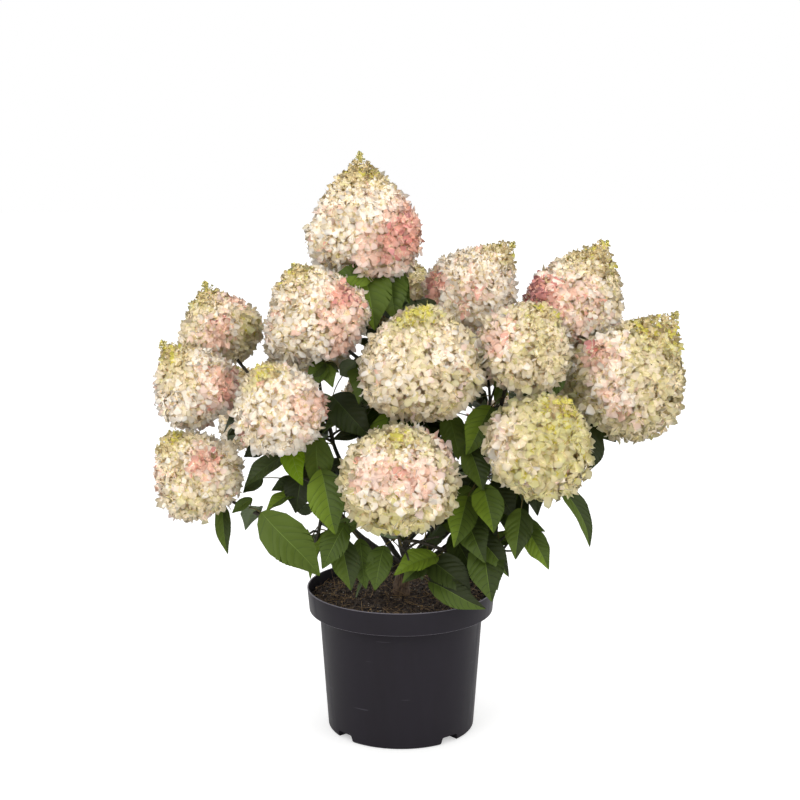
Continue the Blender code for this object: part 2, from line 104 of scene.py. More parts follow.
HEADS = (
    Head("top", (-0.06, 0.0, 1.0), 4.3, 0.2, 0.25, 0.009, 1, (
        Patch(0.92, 0.0, 0.54, 2.9), Patch(0.25, -0.30, 0.45, 1.8), Patch(0.60, -0.20, 0.45, 1.0))),
    Head("upper_left", (-0.45, -0.15, 1.0), 4.3, 0.16, 0.15, 0.002, 1, (
        Patch(0.60, 0.45, 0.42, 3.6), Patch(0.55, -0.45, 0.40, 2.0), Patch(0.20, 0.0, 0.25, 1.6))),
    Head("upper_right", (0.78, 0.05, 1.0), 4.3, 0.13, 0.25, 0.007, 1, (
        Patch(-0.80, 0.25, 0.42, 3.8), Patch(-0.55, -0.55, 0.40, 2.2), Patch(0.1, 0.2, 0.30, 1.5))),
    Head("right_high", (0.50, 0.05, 1.0), 3.5, 0.2, 0.3, 0.002, 1, (
        Patch(-0.85, 0.30, 0.58, 5.6), Patch(0.0, 0.05, 0.75, 2.0), Patch(0.45, -0.75, 0.35, -1.2))),
    Head("far_right", (0.72, -0.05, 1.0), 2.9, 0.2, 0.5, 0.007, 1.08, (
        # The third patch, greener at the head's lower left, is painted shadow from the heads in front of it.
        Patch(-0.45, 0.60, 0.40, 3.4), Patch(-0.30, -0.15, 0.36, 2.8), Patch(-0.85, -0.35, 0.45, -1.4))),
    Head("right_inner", (0.50, -0.55, 1.0), 3.3, 0.13, 0.35, 0, 1.05, (
        Patch(-0.60, 0.30, 0.42, 3.0), Patch(0.25, 0.20, 0.40, -0.6))),
    Head("middle", (-0.18, -0.42, 1.0), 3.3, 0.135, 1, 0, 1.1, (
        Patch(-0.60, 0.0, 0.50, 0.8), Patch(0.55, 0.35, 0.35, 1.2))),
    Head("right_low", (0.50, -0.50, 1.0), 2.15, 0.13, 0.6, 0, 1.22, (
        Patch(-0.75, 0.25, 0.50, 2.2), Patch(0.45, 0.50, 0.45, -0.7))),
    Head("left_rear", (-0.42, 0.15, 1.0), 3.3, 0.2, 0.25, 0.01, 1, (
        # The second patch, greener on the head's right side, is painted shadow.
        Patch(0.05, 0.15, 0.50, 3.0), Patch(0.75, 0.0, 0.45, -1.6))),
    Head("left", (-0.65, -0.10, 1.0), 4.4, 0.16, 0.35, 0.006, 1, (
        Patch(-0.55, 0.55, 0.50, -1.4), Patch(0.70, 0.10, 0.42, 2.3))),
    Head("left_inner", (-0.35, -0.50, 1.0), 4.3, 0.13, 0.4, 0, 1.05, (
        Patch(0.65, 0.15, 0.50, 1.7), Patch(-0.45, 0.75, 0.30, -1.6))),
    Head("left_low", (-0.75, -0.20, 1.0), 3.7, 0.14, 0.5, 0, 1, (
        Patch(0.25, 0.50, 0.42, 3.2), Patch(0.0, -0.65, 0.50, -0.8), Patch(-0.7, 0.75, 0.35, -2.0))),
    Head("front_low", (0.0, -0.75, 1.0), 2.6, 0.08, 0.5, 0, 1.2, (
        Patch(-0.40, 0.30, 0.50, 3.0), Patch(0.45, 0.10, 0.50, 3.2), Patch(0.0, -0.80, 0.40, -1.2))),
    Head("back_upper", (0.02, 0.40, 1.0), 2.9, 0.18, 0.4, 0.006, 1, ()),
    Head("back_left", (-0.35, 0.45, 1.0), 4, 0.18, 0.4, 0.005, 1, ()),
    Head("back_right", (0.30, 0.55, 1.0), 3.7, 0.18, 0.6, 0.005, 1, ()),
    Head("back_far_right", (0.55, 0.45, 1.0), 3.5, 0.18, 0.6, 0, 1, ()),
    Head("back_far_left", (-0.55, 0.45, 1.0), 3.9, 0.16, 0.4, 0.004, 1, ()),
    Head("back_middle", (-0.05, 0.75, 1.0), 4.2, 0.14, 0.4, 0, 1, ()),
    Head("back_low", (0.40, 0.75, 1.0), 4.4, 0.14, 0.4, 0, 1, ()),
)

# A petal's rows of points: share of its length, share of its full width.
PETAL_ROWS = ((0.26, 0.74), (0.55, 1.0), (0.82, 0.56))
PETALS = 4
STALK_SHADOW = math.radians(154)  # no floret grows this far round from the tip, where the stalk comes in
STALK_LENGTH = 16 * MM
UNDER_SHARE = 4  # one floret in so many has another under it, in the hollows
UNDER_LAYER = 6 * MM  # how much deeper those lie
CORE_SIZE, CORE_POINT = 0.78, 0.08  # the core's size against the head's, and how far it is drawn to the tip
DEALT_PATCHES = 4  # patches dealt to each head besides those listed, kept if they face the back
FACES_BACK = 0.1
PINK_SPECKS = 0.035  # share of the florets that are pinker than those round them
YOUNG_BUDS = 0.15  # share of a tuft's buds that have a petal's shade

# ---------------------------------------------------------------- leaves

# Leaves that stand clear of the crown's front, listed one by one: the mass each grows on, base and tip of its
# blade, how far its face turns about its length in degrees, its width against its length, and its tone from 0
# lime to 5 dark.
FrontLeaf = namedtuple("FrontLeaf", "mass base tip turn width tone")

# The deep and dark tones go to the leaves that lie back among the heads, so part of their darkness is painted
# shade.
FRONT_LEAVES = (
    FrontLeaf("left_low", (-0.182, -0.115, 0.333), (-0.104, -0.140, 0.255), 10, 0.52, 2),
    FrontLeaf("left_front", (-0.103, -0.125, 0.392), (-0.084, -0.165, 0.317), 0, 0.60, 1),
    FrontLeaf("left_front", (-0.146, -0.115, 0.436), (-0.126, -0.150, 0.376), 30, 0.50, 0),
    FrontLeaf("left_front", (-0.112, -0.095, 0.432), (-0.110, -0.130, 0.362), -20, 0.56, 2),
    FrontLeaf("left_low", (-0.128, -0.070, 0.380), (-0.139, -0.090, 0.325), 10, 0.70, 5),
    FrontLeaf("left_low", (-0.135, -0.070, 0.350), (-0.178, -0.105, 0.328), 25, 0.42, 1),
    FrontLeaf("left_low", (-0.186, -0.095, 0.335), (-0.208, -0.065, 0.296), 120, 0.60, 4),
    FrontLeaf("left_low", (-0.118, -0.025, 0.315), (-0.142, -0.040, 0.316), 160, 0.60, 4),
    FrontLeaf("left_front", (-0.150, -0.080, 0.402), (-0.204, -0.105, 0.364), 20, 0.46, 4),
    FrontLeaf("left_front", (-0.134, -0.060, 0.364), (-0.172, -0.072, 0.351), 0, 0.52, 4),
    FrontLeaf("left", (-0.184, -0.020, 0.400), (-0.212, -0.030, 0.388), 0, 0.70, 5),
    FrontLeaf("left", (-0.205, -0.020, 0.424), (-0.232, -0.030, 0.418), 0, 0.60, 5),
    FrontLeaf("left_front", (-0.184, -0.060, 0.366), (-0.210, -0.070, 0.348), 0, 0.60, 4),
    FrontLeaf("middle", (-0.042, -0.050, 0.430), (-0.090, -0.062, 0.418), 0, 0.42, 5),
    FrontLeaf("left_front", (-0.074, -0.060, 0.388), (-0.104, -0.070, 0.376), 0, 0.62, 5),
    FrontLeaf("middle", (-0.099, -0.085, 0.524), (-0.121, -0.110, 0.507), 0, 0.58, 2),
    FrontLeaf("middle", (-0.099, -0.085, 0.524), (-0.108, -0.112, 0.497), 0, 0.58, 3),
    FrontLeaf("middle", (-0.099, -0.085, 0.524), (-0.088, -0.110, 0.497), 0, 0.58, 2),
    FrontLeaf("middle", (-0.099, -0.085, 0.524), (-0.080, -0.100, 0.514), 0, 0.55, 3),
    FrontLeaf("middle", (-0.099, -0.080, 0.526), (-0.122, -0.095, 0.526), 0, 0.55, 4),
    FrontLeaf("middle", (-0.058, -0.060, 0.522), (-0.080, -0.080, 0.507), 150, 0.70, 4),
    FrontLeaf("left_low", (-0.196, -0.085, 0.344), (-0.222, -0.095, 0.326), 0, 0.50, 3),
    FrontLeaf("left_low", (-0.072, -0.115, 0.318), (-0.102, -0.140, 0.264), 0, 0.56, 3),
    FrontLeaf("left_low", (-0.088, -0.095, 0.300), (-0.042, -0.125, 0.324), 10, 0.42, 3),
    FrontLeaf("left_low", (-0.080, -0.100, 0.296), (-0.065, -0.130, 0.231), 0, 0.56, 2),
    FrontLeaf("front", (-0.055, -0.095, 0.292), (-0.046, -0.120, 0.230), 0, 0.52, 3),
    FrontLeaf("front", (-0.022, -0.100, 0.284), (-0.034, -0.130, 0.231), 10, 0.60, 3),
    FrontLeaf("front", (0.048, -0.110, 0.272), (-0.008, -0.150, 0.262), 20, 0.55, 1),
    FrontLeaf("right_front", (0.117, -0.100, 0.470), (0.084, -0.130, 0.412), 0, 0.62, 1),
    FrontLeaf("right_front", (0.062, -0.080, 0.458), (0.075, -0.110, 0.402), 0, 0.56, 2),
    FrontLeaf("right_front", (0.086, -0.105, 0.418), (0.105, -0.140, 0.368), -10, 0.62, 2),
    FrontLeaf("right_low", (0.106, -0.125, 0.372), (0.118, -0.160, 0.317), 5, 0.68, 1),
    FrontLeaf("right_low", (0.087, -0.110, 0.353), (0.068, -0.150, 0.295), 0, 0.62, 1),
    FrontLeaf("right_low", (0.082, -0.085, 0.320), (0.108, -0.135, 0.272), 0, 0.66, 3),
    FrontLeaf("right_low", (0.158, -0.090, 0.332), (0.148, -0.130, 0.275), 0, 0.54, 2),
    FrontLeaf("right_low", (0.164, -0.080, 0.305), (0.193, -0.120, 0.258), 0, 0.48, 1),
    FrontLeaf("right_low", (0.158, -0.060, 0.312), (0.191, -0.080, 0.297), 30, 0.40, 3),
    FrontLeaf("right_low", (0.203, -0.110, 0.368), (0.248, -0.120, 0.287), -25, 0.32, 2),
    FrontLeaf("right", (0.252, -0.050, 0.436), (0.241, -0.080, 0.372), -20, 0.60, 5),
    FrontLeaf("right_low", (0.100, -0.085, 0.296), (0.140, -0.130, 0.253), 10, 0.50, 3),
    FrontLeaf("right_low", (0.105, -0.090, 0.286), (0.118, -0.140, 0.219), 0, 0.60, 3),
    FrontLeaf("right_low", (0.036, -0.110, 0.238), (0.108, -0.154, 0.214), 10, 0.40, 3),
    FrontLeaf("right_front", (0.175, -0.050, 0.372), (0.181, -0.075, 0.318), 0, 0.50, 5),
    FrontLeaf("right_low", (0.090, -0.095, 0.270), (0.050, -0.115, 0.243), 0, 0.60, 4),
    FrontLeaf("right_low", (0.085, -0.070, 0.300), (0.066, -0.100, 0.258), 0, 0.62, 4),
    FrontLeaf("right_front", (0.095, -0.085, 0.356), (0.068, -0.105, 0.346), 0, 0.60, 2),
    FrontLeaf("right_front", (0.108, -0.055, 0.380), (0.076, -0.080, 0.340), 0, 0.75, 5),
    FrontLeaf("right_front", (0.120, -0.060, 0.360), (0.150, -0.085, 0.318), 0, 0.70, 5),
    FrontLeaf("right_low", (0.098, -0.065, 0.318), (0.122, -0.095, 0.280), 0, 0.75, 5),
    FrontLeaf("right_low", (0.036, -0.095, 0.266), (0.092, -0.135, 0.224), 0, 0.60, 4),
    FrontLeaf("right_low", (0.070, -0.080, 0.290), (0.102, -0.125, 0.240), 0, 0.64, 4),
    FrontLeaf("right_low", (0.032, -0.105, 0.262), (0.002, -0.135, 0.244), 0, 0.64, 2),
    FrontLeaf("top", (-0.036, -0.040, 0.634), (-0.092, -0.070, 0.632), -20, 0.50, 1),
    FrontLeaf("top", (-0.050, -0.015, 0.645), (-0.034, -0.066, 0.566), 0, 0.66, 1),
    FrontLeaf("top", (-0.018, -0.010, 0.640), (-0.006, -0.052, 0.574), 0, 0.60, 2),
    FrontLeaf("top", (-0.018, -0.005, 0.640), (0.012, -0.040, 0.596), 0, 0.50, 3),
    FrontLeaf("top", (-0.050, 0.010, 0.620), (-0.012, -0.030, 0.575), 0, 0.70, 5),
    FrontLeaf("left_front", (-0.092, -0.045, 0.474), (-0.040, -0.085, 0.425), 10, 0.60, 4),
    FrontLeaf("left_low", (-0.238, -0.075, 0.336), (-0.229, -0.100, 0.272), 0, 0.36, 2),
    FrontLeaf("right", (0.252, -0.015, 0.440), (0.288, -0.040, 0.410), 0, 0.56, 4),
    FrontLeaf("right", (0.212, -0.055, 0.512), (0.180, -0.075, 0.470), 0, 0.60, 3),
)

# Gaps that open right through the foliage, seen from the front: middle across, height, half width.
SKY = (
    (-0.186, 0.358, 0.014), (-0.190, 0.345, 0.016), (-0.191, 0.388, 0.010), (-0.190, 0.406, 0.009),
    (-0.164, 0.378, 0.012), (-0.157, 0.349, 0.009), (-0.132, 0.321, 0.022), (-0.083, 0.414, 0.019),
    (-0.083, 0.491, 0.013), (-0.067, 0.286, 0.010), (-0.240, 0.330, 0.020), (-0.165, 0.262, 0.024),
    (-0.220, 0.255, 0.030), (0.235, 0.250, 0.040), (0.215, 0.320, 0.014), (0.190, 0.372, 0.008),
    (0.064, 0.280, 0.008), (0.172, 0.245, 0.030), (0.042, 0.622, 0.017), (0.022, 0.640, 0.009),
    (-0.129, 0.208, 0.020), (-0.096, 0.214, 0.015), (0.083, 0.436, 0.007), (0.102, 0.412, 0.008),
)

# The height of a gap holds on an upright plane this far in front of the plant's middle.
SKY_PLANE = 0.1

# The leaf greens from lime to dark: the lime and bright ones are partly painted light shining through the
# leaves, and the deep and dark ones partly painted shade in the crown.
LEAF_TONES = ("lime", "bright", "mid", "fresh_dark", "deep", "dark")
LEAF_EXTRAS = ("underside", "pale_vein", "deep_vein", "petiole")
LEAF_SLOTS = {finish: slot for slot, finish in enumerate(LEAF_TONES + LEAF_EXTRAS)}
# How finely a leaf is drawn: its columns of points across, and its pairs of side veins.
FINE_LEAF = (np.array((-1.0, -0.68, -0.32, -0.016, 0.016, 0.32, 0.68, 1.0)), 7)
PLAIN_LEAF = (np.array((-1.0, -0.55, -0.018, 0.018, 0.55, 1.0)), 5)
LEAF_SWEEP = 0.40  # how far its side veins sweep forwards, against its length
LEAF_QUILT, MIDRIB_SINK = 0.0082, 0.006  # relief between the veins and at the midrib, against its length
PAINTED_SHADE_WAY = np.array((0.85, 0.0, 0.5))  # painted shade: on most leaves the half on this side, away from the key light, is dealt up to two deeper greens
FRONT_OUTLOOK = np.array((0.0, -0.86, 0.5))  # the way that the listed leaves face before they are turned

# A grown leaf is priced at three points along it, told by share of its length, and each keeps its own
# distance from the gaps. It is tried so many times, and left out if its best price is past the limit.
LEAF_PROBES = ((0.35, 19 * MM), (0.7, 14 * MM), (1.0, 4 * MM))
LEAF_TRIES = 12
PRICE_LIMIT = 0.035
HEAD_ROOM, CROWN_ROOM, RIM_ROOM = 6 * MM, 16 * MM, 6 * MM  # to the heads, past the masses, over the pot's rim
# A grown leaf pays for hiding one of the listed leaves, which it does when the two lie within this angle of
# sight.
HIDING_PRICE, SAME_SIGHT = 0.03, math.cos(0.011)

# The leaf masses, those that a stem runs into first.
MASSES = (
    "middle", "left", "left_front", "front", "right_front", "right", "back_right", "back", "back_left", "top",
    "left_low", "right_low",
)

# ---------------------------------------------------------------- settings


def linear(*screen):
    """A screen colour, 0 to 255, as the linear colour that a shader takes."""
    return tuple(((c / 255 + 0.055) / 1.055) ** 2.4 if c > 10 else c / 255 / 12.92 for c in screen)


def colour(name, red, green, blue):
    return bpy.props.FloatVectorProperty(
        name=name, description=f"Colour: {name.lower()}", subtype="COLOR", size=3, min=0.0, max=1.0,
        default=linear(red, green, blue))


def size(name, description, metres):
    return bpy.props.FloatProperty(
        name=name, description=description, default=metres, min=0.0, unit="LENGTH", precision=4)


def power(name, description, value):
    return bpy.props.FloatProperty(name=name, description=description, default=value, min=0.0)


def amount(name, description, value):
    return bpy.props.IntProperty(name=name, description=description, default=value, min=0)


class PetalSettings(bpy.types.PropertyGroup):
    tip_size: size("Petals at the tip", "Length of the smallest petals", 6 * MM)
    flank_size: size("Petals on the flank", "Length of the petals half way down", 12.5 * MM)
    rim_size: size("Petals at the rim", "Length of the petals round the lower edge", 14.5 * MM)
    inset: size("Inset", "How far the florets' hearts lie under the head's outline", 7.5 * MM)
    tuck: size("Tuck", "How much further in the florets under a head lie", 8.0 * MM)
    density: bpy.props.FloatProperty(
        name="Florets", description="Florets on each square metre of a head", default=8800.0, min=500.0)
    lime: colour("Lime", 192, 184, 88)
    pale_lime: colour("Pale lime", 200, 194, 142)
    butter: colour("Butter", 206, 196, 156)
    cream: colour("Cream", 219, 207, 181)
    ivory: colour("Ivory", 230, 223, 211)
    blush: colour("Blush", 229, 207, 194)
    peach: colour("Peach", 224, 190, 172)
    salmon: colour("Salmon", 219, 169, 153)
    rose: colour("Rose", 212, 149, 144)
    mauve: colour("Mauve", 164, 114, 112)
    sand: colour("Sand", 194, 178, 136)
    bud: colour("Bud", 140, 134, 76)
    # painted shade: the warm tan of a head's hollows, laid on its core and on the feet of pale petals
    hollow_shade: colour("Hollows", 220, 202, 162)
    heart: colour("Floret heart", 210, 196, 150)


class LeafSettings(bpy.types.PropertyGroup):
    blade: size("Blade", "Length of a full-grown leaf", 92 * MM)
    thickness: size("Thickness", "From a blade's upper to its lower face", 0.35 * MM)
    spacing: size("Spacing", "From one pair of leaves to the next along a twig", 34 * MM)
    lime: colour("Lime green", 96, 122, 8)
    bright: colour("Bright green", 107, 129, 38)
    mid: colour("Mid green", 84, 102, 35)
    fresh_dark: colour("Full green", 75, 93, 32)
    deep: colour("Deep green", 55, 68, 26)
    dark: colour("Dark green", 42, 51, 18)
    underside: colour("Underside", 106, 118, 88)
    pale_vein: colour("Pale vein", 108, 130, 56)
    deep_vein: colour("Deep vein", 76, 94, 42)
    petiole: colour("Leaf stalk", 98, 88, 46)


class BarkSettings(bpy.types.PropertyGroup):
    ridge: size("Ridges", "Height of the ridges in the bark", 0.25 * MM)
    old_wood: colour("Old wood", 132, 106, 82)
    old_furrow: colour("Furrows", 70, 54, 42)
    young_wood: colour("Young wood", 66, 58, 42)
    young_shade: colour("Young wood, shaded", 34, 36, 26)


class PotSettings(bpy.types.PropertyGroup):
    wall: size("Wall", "Thickness of the wall", 2.0 * MM)
    collar: size("Collar", "Height of the collar round the rim", 32 * MM)
    base_radius: size("Foot radius", "Radius where the pot meets the ground", 101.8 * MM)
    body_radius: size("Body radius", "Radius just under the collar", 113.3 * MM)
    collar_radius: size("Collar radius", "Radius of the collar's lower edge", 127.2 * MM)
    pocket_width: size("Drain pocket width", "Width of the four pockets under the foot", 34 * MM)
    pocket_height: size("Drain pocket height", "Height of the four pockets", 10 * MM)
    pocket_depth: size("Drain pocket depth", "How far the pockets run in from the foot", 36 * MM)
    charcoal: colour("Charcoal", 38, 35, 40)
    worn: colour("Rubbed charcoal", 43, 40, 48)
    scuff: colour("Scuffs", 72, 69, 76)
    # a paler charcoal on the rim's lip and the collar's lower edge: painted highlight
    edge: colour("Painted edge highlights", 112, 108, 116)


class PeatSettings(bpy.types.PropertyGroup):
    crumbs: amount("Crumbs", "Number of loose crumbs", 3200)
    fibres: amount("Fibres", "Number of straws and fibres", 560)
    dark: colour("Dark peat", 50, 42, 40)
    brown: colour("Brown peat", 92, 76, 64)
    straw: colour("Straw", 164, 136, 100)
    grit: colour("Grit", 226, 222, 214)


class StageSettings(bpy.types.PropertyGroup):
    floor: colour("Floor", 226, 226, 226)
    glow: power("Glow", "Light through the floor", 0.45)
    ambient: power("Ambient", "Light from all round", 0.99)
    key: power("Key light", "Watts of the key light", 15.0)
    fill: power("Fill light", "Watts of the fill light", 9.0)


# ---------------------------------------------------------------- small tools


def unit(vectors):
    return vectors / np.maximum(np.linalg.norm(vectors, axis=-1, keepdims=True), 1e-12)


def smooth_step(low, high, value):
    t = np.clip((value - low) / (high - low), 0.0, 1.0)
    return t * t * (3.0 - 2.0 * t)


def square_frame(facing, spin):
    """Two unit vectors square to each facing vector, turned about it by spin."""
    helper = np.where(np.abs(facing[..., 2:3]) < 0.9, UP, np.array((1.0, 0.0, 0.0)))
    first = unit(np.cross(helper, facing))
    second = np.cross(facing, first)
    cos, sin = np.cos(spin)[..., None], np.sin(spin)[..., None]
    return first * cos + second * sin, second * cos - first * sin


def ways_round(axis, angles):
    """Unit vectors square to one axis, at these angles round it."""
    first, second = square_frame(axis[None], np.zeros(1))
    return first * np.cos(angles)[:, None] + second * np.sin(angles)[:, None]


class Patchwork:
    """Gathers arrays of points and faces, and joins them into one mesh."""

    def __init__(self):
        self.points = []
        self.corners = []
        self.counts = []
        self.slots = []
        self.total = 0

    def add(self, points, faces, slot):
        """points is (n, 3), faces (m, corners), and slot one number or one for each face."""
        self.points.append(np.reshape(points, (-1, 3)))
        self.total += len(self.points[-1])
        self.cover(faces, slot)

    def cover(self, faces, slot):
        """Faces on the points that were added last."""
        faces = np.asarray(faces)
        self.corners.append((faces + self.total - len(self.points[-1])).ravel())
        self.counts.append(np.full(len(faces), faces.shape[1]))
        self.slots.append(np.broadcast_to(slot, len(faces)))

    def repeat(self, points, faces, slot):
        """The same faces on many copies: points is (copies, n, 3), slot one number, or (copies, m)."""
        copies, count = points.shape[:2]
        faces = np.asarray(faces)
        every = (faces[None] + (np.arange(copies) * count)[:, None, None]).reshape(-1, faces.shape[1])
        self.add(points, every, np.broadcast_to(slot, (copies, len(faces))).ravel())

    def piece(self, name, materials):
        mesh = bpy.data.meshes.new(name)
        points = np.concatenate(self.points)
        corners = np.concatenate(self.corners).astype(np.int32)
        counts = np.concatenate(self.counts)
        mesh.vertices.add(len(points))
        mesh.vertices.foreach_set("co", points.astype(np.float32).ravel())
        mesh.loops.add(len(corners))
        mesh.loops.foreach_set("vertex_index", corners)
        mesh.polygons.add(len(counts))
        starts = np.concatenate(([0], np.cumsum(counts)[:-1]))
        mesh.polygons.foreach_set("loop_start", starts.astype(np.int32))
        for material in materials:
            mesh.materials.append(material)
        mesh.polygons.foreach_set("material_index", np.concatenate(self.slots).astype(np.int32))
        mesh.polygons.foreach_set("use_smooth", np.ones(len(counts), bool))
        mesh.update(calc_edges=True)
        mesh.validate()
        return new_piece(name, mesh)


def new_piece(name, mesh):
    piece = bpy.data.objects.new(name, mesh)
    bpy.context.scene.collection.objects.link(piece)
    return piece


def settle(piece, slot, *nodes):
    """Puts a finished piece on the plant's one body, in place of its nodes."""
    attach(piece, BODY)
    if nodes:
        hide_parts(*nodes)


def node_points(node):
    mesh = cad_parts[node].data
    points = np.empty(len(mesh.vertices) * 3, np.float32)
    mesh.vertices.foreach_get("co", points)
    return points.reshape(-1, 3).astype(float)


def node_tree(*nodes):
    """One search tree over the faces of several nodes."""
    points, faces = [], []
    for node in nodes:
        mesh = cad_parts[node].data
        start = len(points)
        points.extend(v.co.copy() for v in mesh.vertices)
        faces.extend([start + i for i in p.vertices] for p in mesh.polygons)
    return BVHTree.FromPolygons(points, faces)


def node_middle(node):
    low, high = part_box(node)
    return np.array((low + high) / 2)


def depth_inside(tree, point):
    """How far a point is inside the tree's solids, and below zero outside them."""
    where, normal, _, distance = tree.find_nearest(Vector(point))
    return distance if (Vector(point) - where).dot(normal) < 0 else -distance


# ---------------------------------------------------------------- finishes


def plain_finish(name, tint, roughness, **sockets):
    """A finish with one colour, for things dealt out by the hundred in several shades."""
    material = bpy.data.materials.new(name)
    material.use_nodes = True
    shader = material.node_tree.nodes["Principled BSDF"]
    shader.inputs["Base Color"].default_value = (*tint, 1.0)
    shader.inputs["Roughness"].default_value = roughness
    for socket, value in sockets.items():
        shader.inputs[socket.replace("_", " ").title().replace("Ior", "IOR")].default_value = value
    return material


class Nodes:
    """Short calls to build one node tree."""

    def __init__(self, tree):
        self.tree = tree

    def add(self, kind, links=None, **settings):
        node = self.tree.nodes.new(kind)
        for key, value in settings.items():
            setattr(node, key, value)
        for socket, value in (links or {}).items():
            if isinstance(value, bpy.types.NodeSocket):
                self.tree.links.new(value, node.inputs[socket])
            else:
                node.inputs[socket].default_value = value
        return node

    def link(self, source, node, socket):
        self.tree.links.new(source, node.inputs[socket])


def grain_group():
    """Noise stretched along an axis and cut to a mask: bark streaks, the pot's worn plastic and the peat all
    use it.
    """
    group = bpy.data.node_groups.get("Stretched grain")
    if group:
        return group
    group = bpy.data.node_groups.new("Stretched grain", "ShaderNodeTree")
    for name, kind, value in (
        ("Stretch", "Vector", (1.0, 1.0, 1.0)), ("Scale", "Float", 100.0), ("Detail", "Float", 4.0),
        ("Low", "Float", 0.4), ("High", "Float", 0.6),
    ):
        socket = group.interface.new_socket(name, in_out="INPUT", socket_type="NodeSocket" + kind)
        socket.default_value = value
    group.interface.new_socket("Mask", in_out="OUTPUT", socket_type="NodeSocketFloat")
    nodes = Nodes(group)
    given = nodes.add("NodeGroupInput")
    place = nodes.add("ShaderNodeTexCoord")
    stretched = nodes.add("ShaderNodeVectorMath", {
        0: place.outputs["Object"], 1: given.outputs["Stretch"]}, operation="MULTIPLY")
    cloud = nodes.add("ShaderNodeTexNoise", {
        "Vector": stretched.outputs[0], "Scale": given.outputs["Scale"], "Detail": given.outputs["Detail"]})
    mask = nodes.add("ShaderNodeMapRange", {
        "Value": cloud.outputs["Fac"], "From Min": given.outputs["Low"], "From Max": given.outputs["High"]})
    result = nodes.add("NodeGroupOutput")
    nodes.link(mask.outputs["Result"], result, "Mask")
    return group


def grain(nodes, stretch, scale, detail, low, high):
    """The mask of one grain: its stretch along each axis, its scale and detail, and where it is cut."""
    node = nodes.add("ShaderNodeGroup", node_tree=grain_group())
    for slot, value in enumerate((stretch, scale, detail, low, high)):
        node.inputs[slot].default_value = value
    return node.outputs["Mask"]


def worked_finish(name):
    """A new node finish: its node builder and its Principled shader."""
    material = bpy.data.materials.new(name)
    material.use_nodes = True
    return material, Nodes(material.node_tree), material.node_tree.nodes["Principled BSDF"]


def blend(nodes, share, first, second):
    """The first colour where share is 0, and the second where it is 1. Each is a tint or a socket."""
    mix = nodes.add("ShaderNodeMix", data_type="RGBA")
    for socket, value in ((6, first), (7, second)):
        if isinstance(value, bpy.types.NodeSocket):
            nodes.link(value, mix, socket)
        else:
            mix.inputs[socket].default_value = (*value, 1.0)
    nodes.link(share, mix, 0)
    return mix.outputs[2]


def spread(nodes, share, low, high):
    """A share from 0 to 1 spread from low to high."""
    return nodes.add("ShaderNodeMapRange", {"Value": share, "To Min": low, "To Max": high}).outputs["Result"]


def bumped(nodes, shader, height, distance, strength):
    bump = nodes.add("ShaderNodeBump", {"Height": height, "Distance": distance, "Strength": strength})
    nodes.link(bump.outputs["Normal"], shader, "Normal")


def bark_finish(name, pale, dark, streak):
    material, nodes, shader = worked_finish(name)
    streaks = grain(nodes, (1.0, 1.0, streak), 620.0, 6.0, 0.38, 0.62)
    blotches = grain(nodes, (1.0, 1.0, 0.5), 75.0, 3.0, 0.42, 0.66)
    base = blend(nodes, streaks, dark, pale)
    shaded = blend(nodes, blotches, base, tuple(0.5 * (a + b) for a, b in zip(pale, dark)))
    nodes.link(shaded, shader, "Base Color")
    nodes.link(spread(nodes, streaks, 0.78, 0.55), shader, "Roughness")
    bumped(nodes, shader, streaks, 0.4 * MM, 0.6)
    return material


# ---------------------------------------------------------------- petals


def petal_faces():
    """Corner numbers of one petal: its triangles and quads, those near the heart first."""
    triangles = ((0, 1, 2), (0, 2, 3), (7, 10, 8), (8, 10, 9))
    quads = ((1, 4, 5, 2), (2, 5, 6, 3), (4, 7, 8, 5), (5, 8, 9, 6))
    return triangles, quads


def petal_places():
    """Each petal point's share of the length and of the half width."""
    along = [0.0]
    across = [0.0]
    for row, width in PETAL_ROWS:
        along += [row] * 3
        across += [-width, 0.0, width]
    return np.array(along + [1.0]), np.array(across + [0.0])


